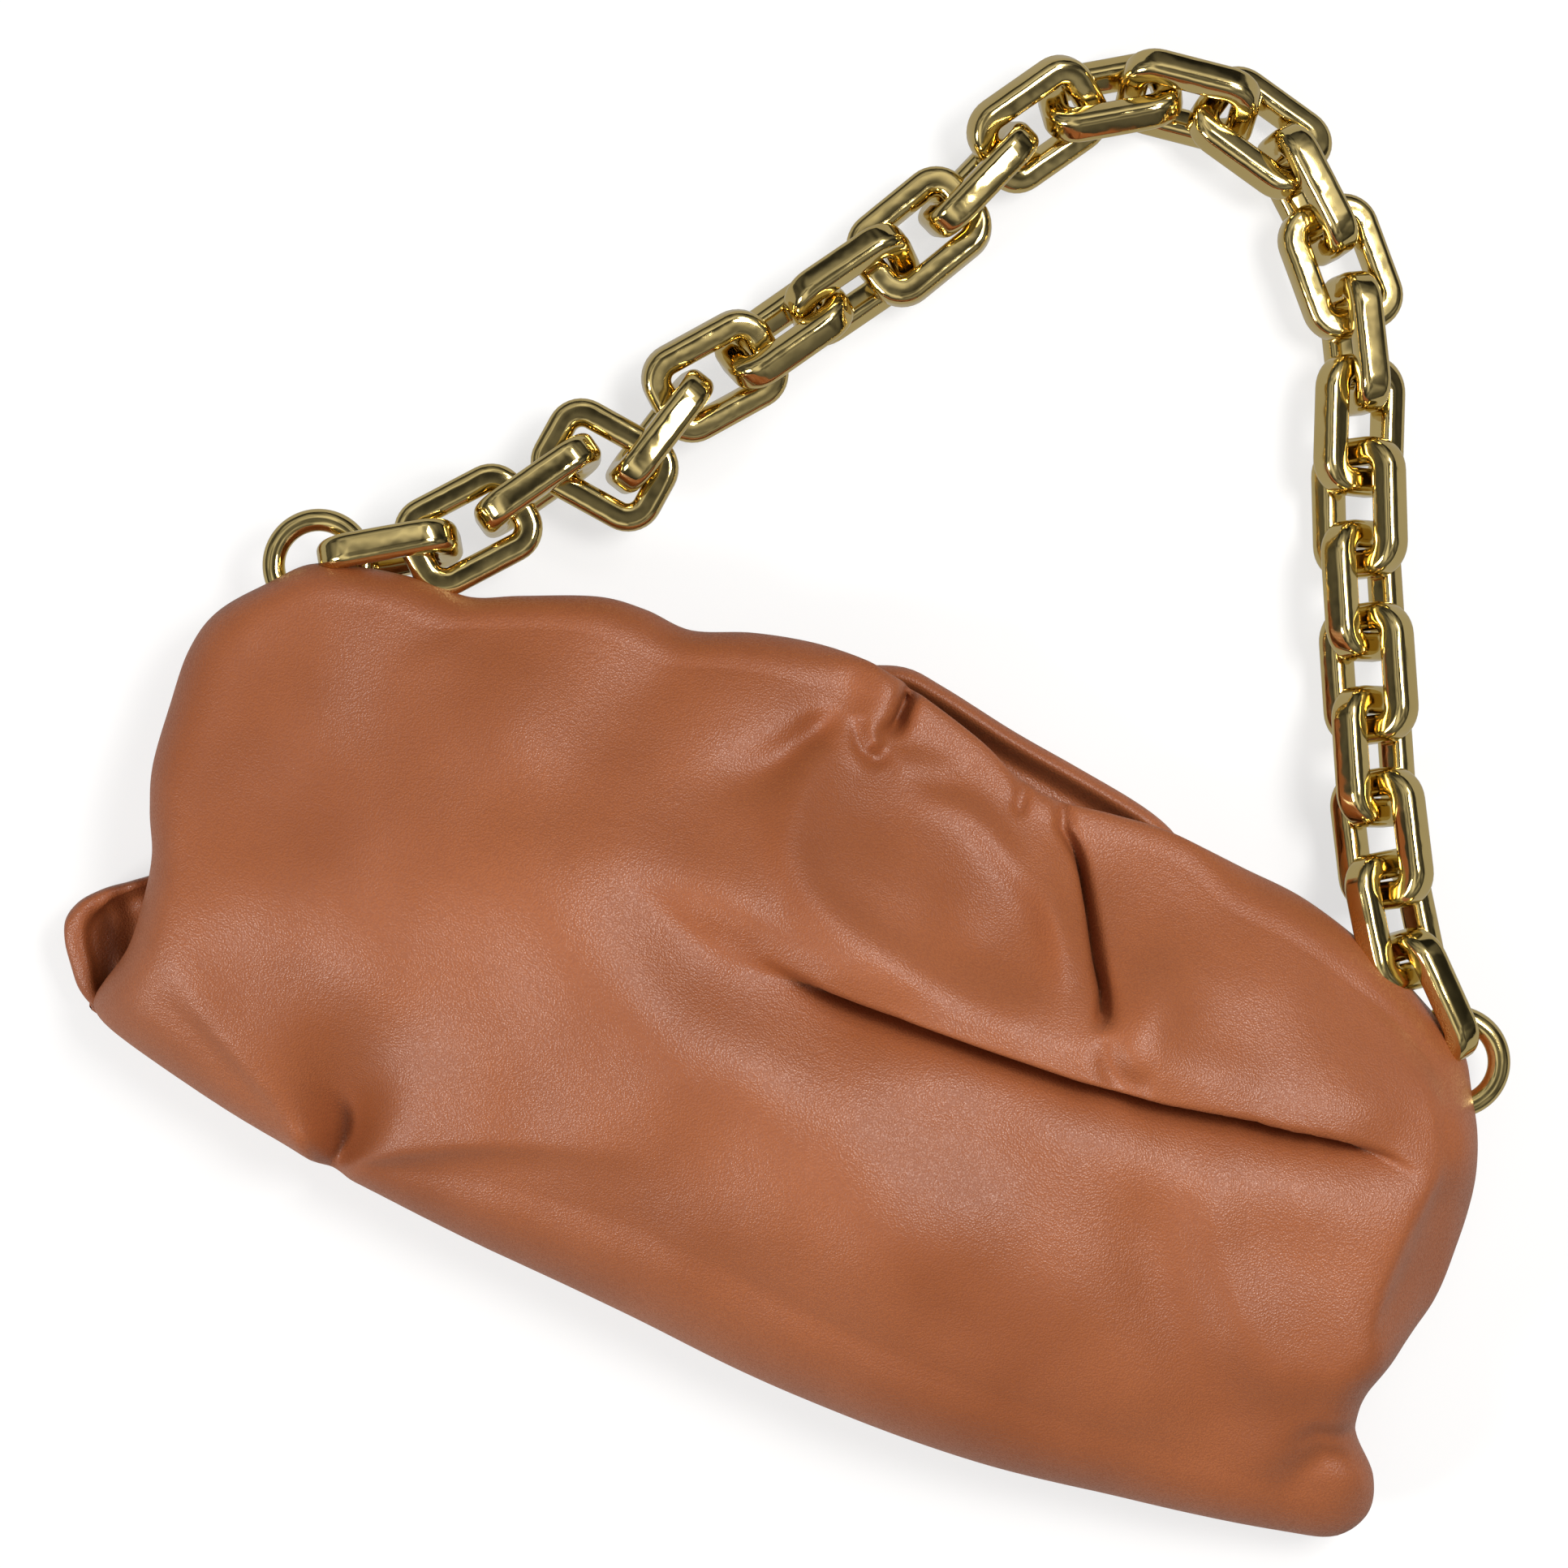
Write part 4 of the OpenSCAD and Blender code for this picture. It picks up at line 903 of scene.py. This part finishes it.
wire(wear, (enter.outputs["Place"], haze.inputs["Vector"]), (haze.outputs["Fac"], spread.inputs["Value"]),
     (enter.outputs["Least"], spread.inputs["To Min"]), (enter.outputs["Most"], spread.inputs["To Max"]),
     (enter.outputs["Place"], swell_noise.inputs["Vector"]), (enter.outputs["Place"], film.inputs["Vector"]),
     (spread.outputs["Result"], leave.inputs["Rough"]), (swell_noise.outputs["Fac"], leave.inputs["Height"]),
     (film.outputs["Fac"], leave.inputs["Film"]))


def metal_finish(name, dark, bright, least, most, ripple):
    """Plated metal: slightly uneven colour and polish, and a faintly rippled surface."""
    finish, tree = new_finish(name)
    plate = tree.nodes["Principled BSDF"]
    plate.inputs["Metallic"].default_value = 1.0
    place = add_node(tree, "TexCoord")
    pattern = add_node(tree, "Group")
    pattern.node_tree = wear
    pattern.inputs["Least"].default_value = least
    pattern.inputs["Most"].default_value = most
    tint = add_node(tree, "Mix", "RGBA", A=(*dark, 1.0), B=(*bright, 1.0))
    relief = add_node(tree, "Bump", Strength=ripple, Distance=0.0006)
    wire(tree, (place.outputs["Object"], pattern.inputs["Place"]), (pattern.outputs["Film"], tint.inputs["Factor"]),
         (tint.outputs["Result"], plate.inputs["Base Color"]), (pattern.outputs["Rough"], plate.inputs["Roughness"]),
         (pattern.outputs["Height"], relief.inputs["Height"]), (relief.outputs["Normal"], plate.inputs["Normal"]))
    return finish


gold = metal_finish("pale_gold_plate", (0.66, 0.50, 0.19), (0.80, 0.64, 0.28), 0.06, 0.15, 0.30)
steel = metal_finish("bright_steel", (0.50, 0.50, 0.49), (0.62, 0.62, 0.60), 0.27, 0.33, 0.1)
nickel = metal_finish("nickel_plate", (0.60, 0.57, 0.51), (0.68, 0.65, 0.59), 0.15, 0.21, 0.1)
for node, finish in [("rear_frame", steel), ("front_frame", steel), ("hinge_pin_left", steel),
                     ("hinge_pin_right", steel), ("magnet_rear", nickel), ("magnet_front", nickel),
                     ("lug_left", gold), ("lug_right", gold), ("lug_rivet_left", gold), ("lug_rivet_right", gold),
                     ("ring_left", gold), ("ring_right", gold)]:
    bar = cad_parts[node]
    bar.data.materials.clear()
    bar.data.materials.append(finish)

# ---------------------------------------------------------------------------------------------
# Chain: twenty-five heavy rectangular links between two round end rings, cast, bevelled,
# polished and plated in pale gold. Each link stands crosswise in the one before it.
# ---------------------------------------------------------------------------------------------
LINK_LONG, LINK_WIDE = 31.5 * MM, 23.0 * MM
BAR_THICK, BAR_BROAD, BAR_ROUND = 6.3 * MM, 7.2 * MM, 2.2 * MM
CORNER = 4.8 * MM
CLEAR = 0.3 * MM
IN_RING = (2.92 * MM, 2.0 * MM)
half_long = (LINK_LONG - BAR_THICK) / 2
half_wide = (LINK_WIDE - BAR_THICK) / 2

bpy.ops.object.select_all(action="DESELECT")
bpy.ops.mesh.primitive_plane_add(size=1.0, location=(half_long, CORNER - half_wide, 0.0),
                                 rotation=(math.pi / 2, 0.0, 0.0))
link_pattern = bpy.context.object
link_pattern.scale = (BAR_THICK, BAR_BROAD, 1.0)
bpy.ops.object.transform_apply(location=True, rotation=True, scale=True)
bpy.ops.object.mode_set(mode="EDIT")
bpy.ops.mesh.select_all(action="SELECT")
bpy.ops.mesh.bevel(offset=BAR_ROUND, segments=6, affect="VERTICES", clamp_overlap=False)
bpy.ops.mesh.delete(type="ONLY_FACE")
bpy.ops.mesh.select_all(action="SELECT")
for side_x, side_y, turn_to in ((1, 1, 0), (-1, 1, 1), (-1, -1, 2), (1, -1, 3)):
    reach = [2 * (half_wide - CORNER), 2 * (half_long - CORNER)][turn_to % 2]
    way = [(0, 1), (-1, 0), (0, -1), (1, 0)][turn_to]
    bpy.ops.mesh.extrude_region_move(TRANSFORM_OT_translate={"value": (way[0] * reach, way[1] * reach, 0.0)})
    bpy.ops.mesh.spin(steps=9, angle=-math.pi / 2, axis=(0.0, 0.0, 1.0),
                      center=(side_x * (half_long - CORNER), side_y * (half_wide - CORNER), 0.0))
bpy.ops.mesh.select_all(action="SELECT")
bpy.ops.mesh.remove_doubles(threshold=0.00002)
bpy.ops.mesh.normals_make_consistent(inside=False)
bpy.ops.object.mode_set(mode="OBJECT")
bpy.ops.object.shade_smooth()
link_pattern.data.materials.append(gold)

# Each link's heading, roll and rise in degrees, and its extra slack in shares of the bar.
TURNS = [(33, 80, 0, 0), (51, 4, -5, 0), (58, 88, -5, 0), (-6, 2, -2, 0), (76, -80, -5, 0), (52, 18, -4, 0),
         (58, -54, -2, 0), (57, 60, 0, 0), (62, -6, 0, 0), (69, -76, 0, 0), (58, 30, -2, 0), (33, -46, 1, 0),
         (8, 58, 2, 0), (-13, -24, 0, 0), (-40, 76, 0, 0.08), (-47, -9, 0, 0.11), (-61, 76, 0, 0),
         (-69, -34, 1, 0), (-66, 45, 2, 0), (-64, -45, 3, 0), (-64, 45, 4, 0), (-64, -45, 4, 0),
         (-61, 45, 4, 0), (-56, -40, 3, 0), (-43, 60, 0, 0)]


def link_axes(turns):
    """Long axis, broad axis and normal of a link from its heading, roll and rise."""
    h, r, e = (math.radians(a) for a in turns[:3])
    d = Vector((math.cos(h) * math.cos(e), math.sin(h) * math.cos(e), math.sin(e)))
    flat_side = Vector((-math.sin(h), math.cos(h), 0.0))
    w = math.cos(r) * flat_side + math.sin(r) * d.cross(flat_side)
    return d, w, d.cross(w)


def bar_reach(axes, m):
    """How far half a link's bar reaches along a way m."""
    d, w, n = axes
    return (BAR_THICK / 2 - BAR_ROUND) * abs(d @ m) + (BAR_BROAD / 2 - BAR_ROUND) * abs(n @ m) + BAR_ROUND


BODY_OF_LINK = {1: "ring_left_body", 2: "ring_left_body", 24: "ring_right_body", 25: "ring_right_body",
                18: "link_18_body", 19: "link_19_body", 20: "link_20_body", 21: "link_21_body",
                22: "link_22_body"}
ring_low, ring_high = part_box("ring_left")
near = (Vector(ring_low) + Vector(ring_high)) / 2 + Vector((IN_RING[0], IN_RING[1], 0.0))
for number, turns in enumerate(TURNS, 1):
    d, w, n = link_axes(turns)
    piece = link_pattern.copy()
    piece.data = link_pattern.data.copy()
    piece.name = "gold_link_%02d" % number
    scene.collection.objects.link(piece)
    middle_of_link = near + d * half_long
    place = np.empty(len(piece.data.vertices) * 3)
    piece.data.vertices.foreach_get("co", place)
    place = place.reshape(-1, 3) @ np.array([d, w, n]) + np.array(middle_of_link)
    piece.data.vertices.foreach_set("co", place.ravel())
    piece.data.update()
    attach(piece, BODY_OF_LINK.get(number, "chain_arch"))
    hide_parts("link_%02d" % number)
    if number < len(TURNS):
        after = link_axes(TURNS[number])
        m = w.cross(after[1]).normalized()
        if (d + after[0]) @ m < 0:
            m = -m
        near = near + 2 * half_long * d - (bar_reach((d, w, n), m) + bar_reach(after, m) + CLEAR
                                           + turns[3] * BAR_THICK) * m
bpy.data.objects.remove(link_pattern)

low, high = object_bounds()
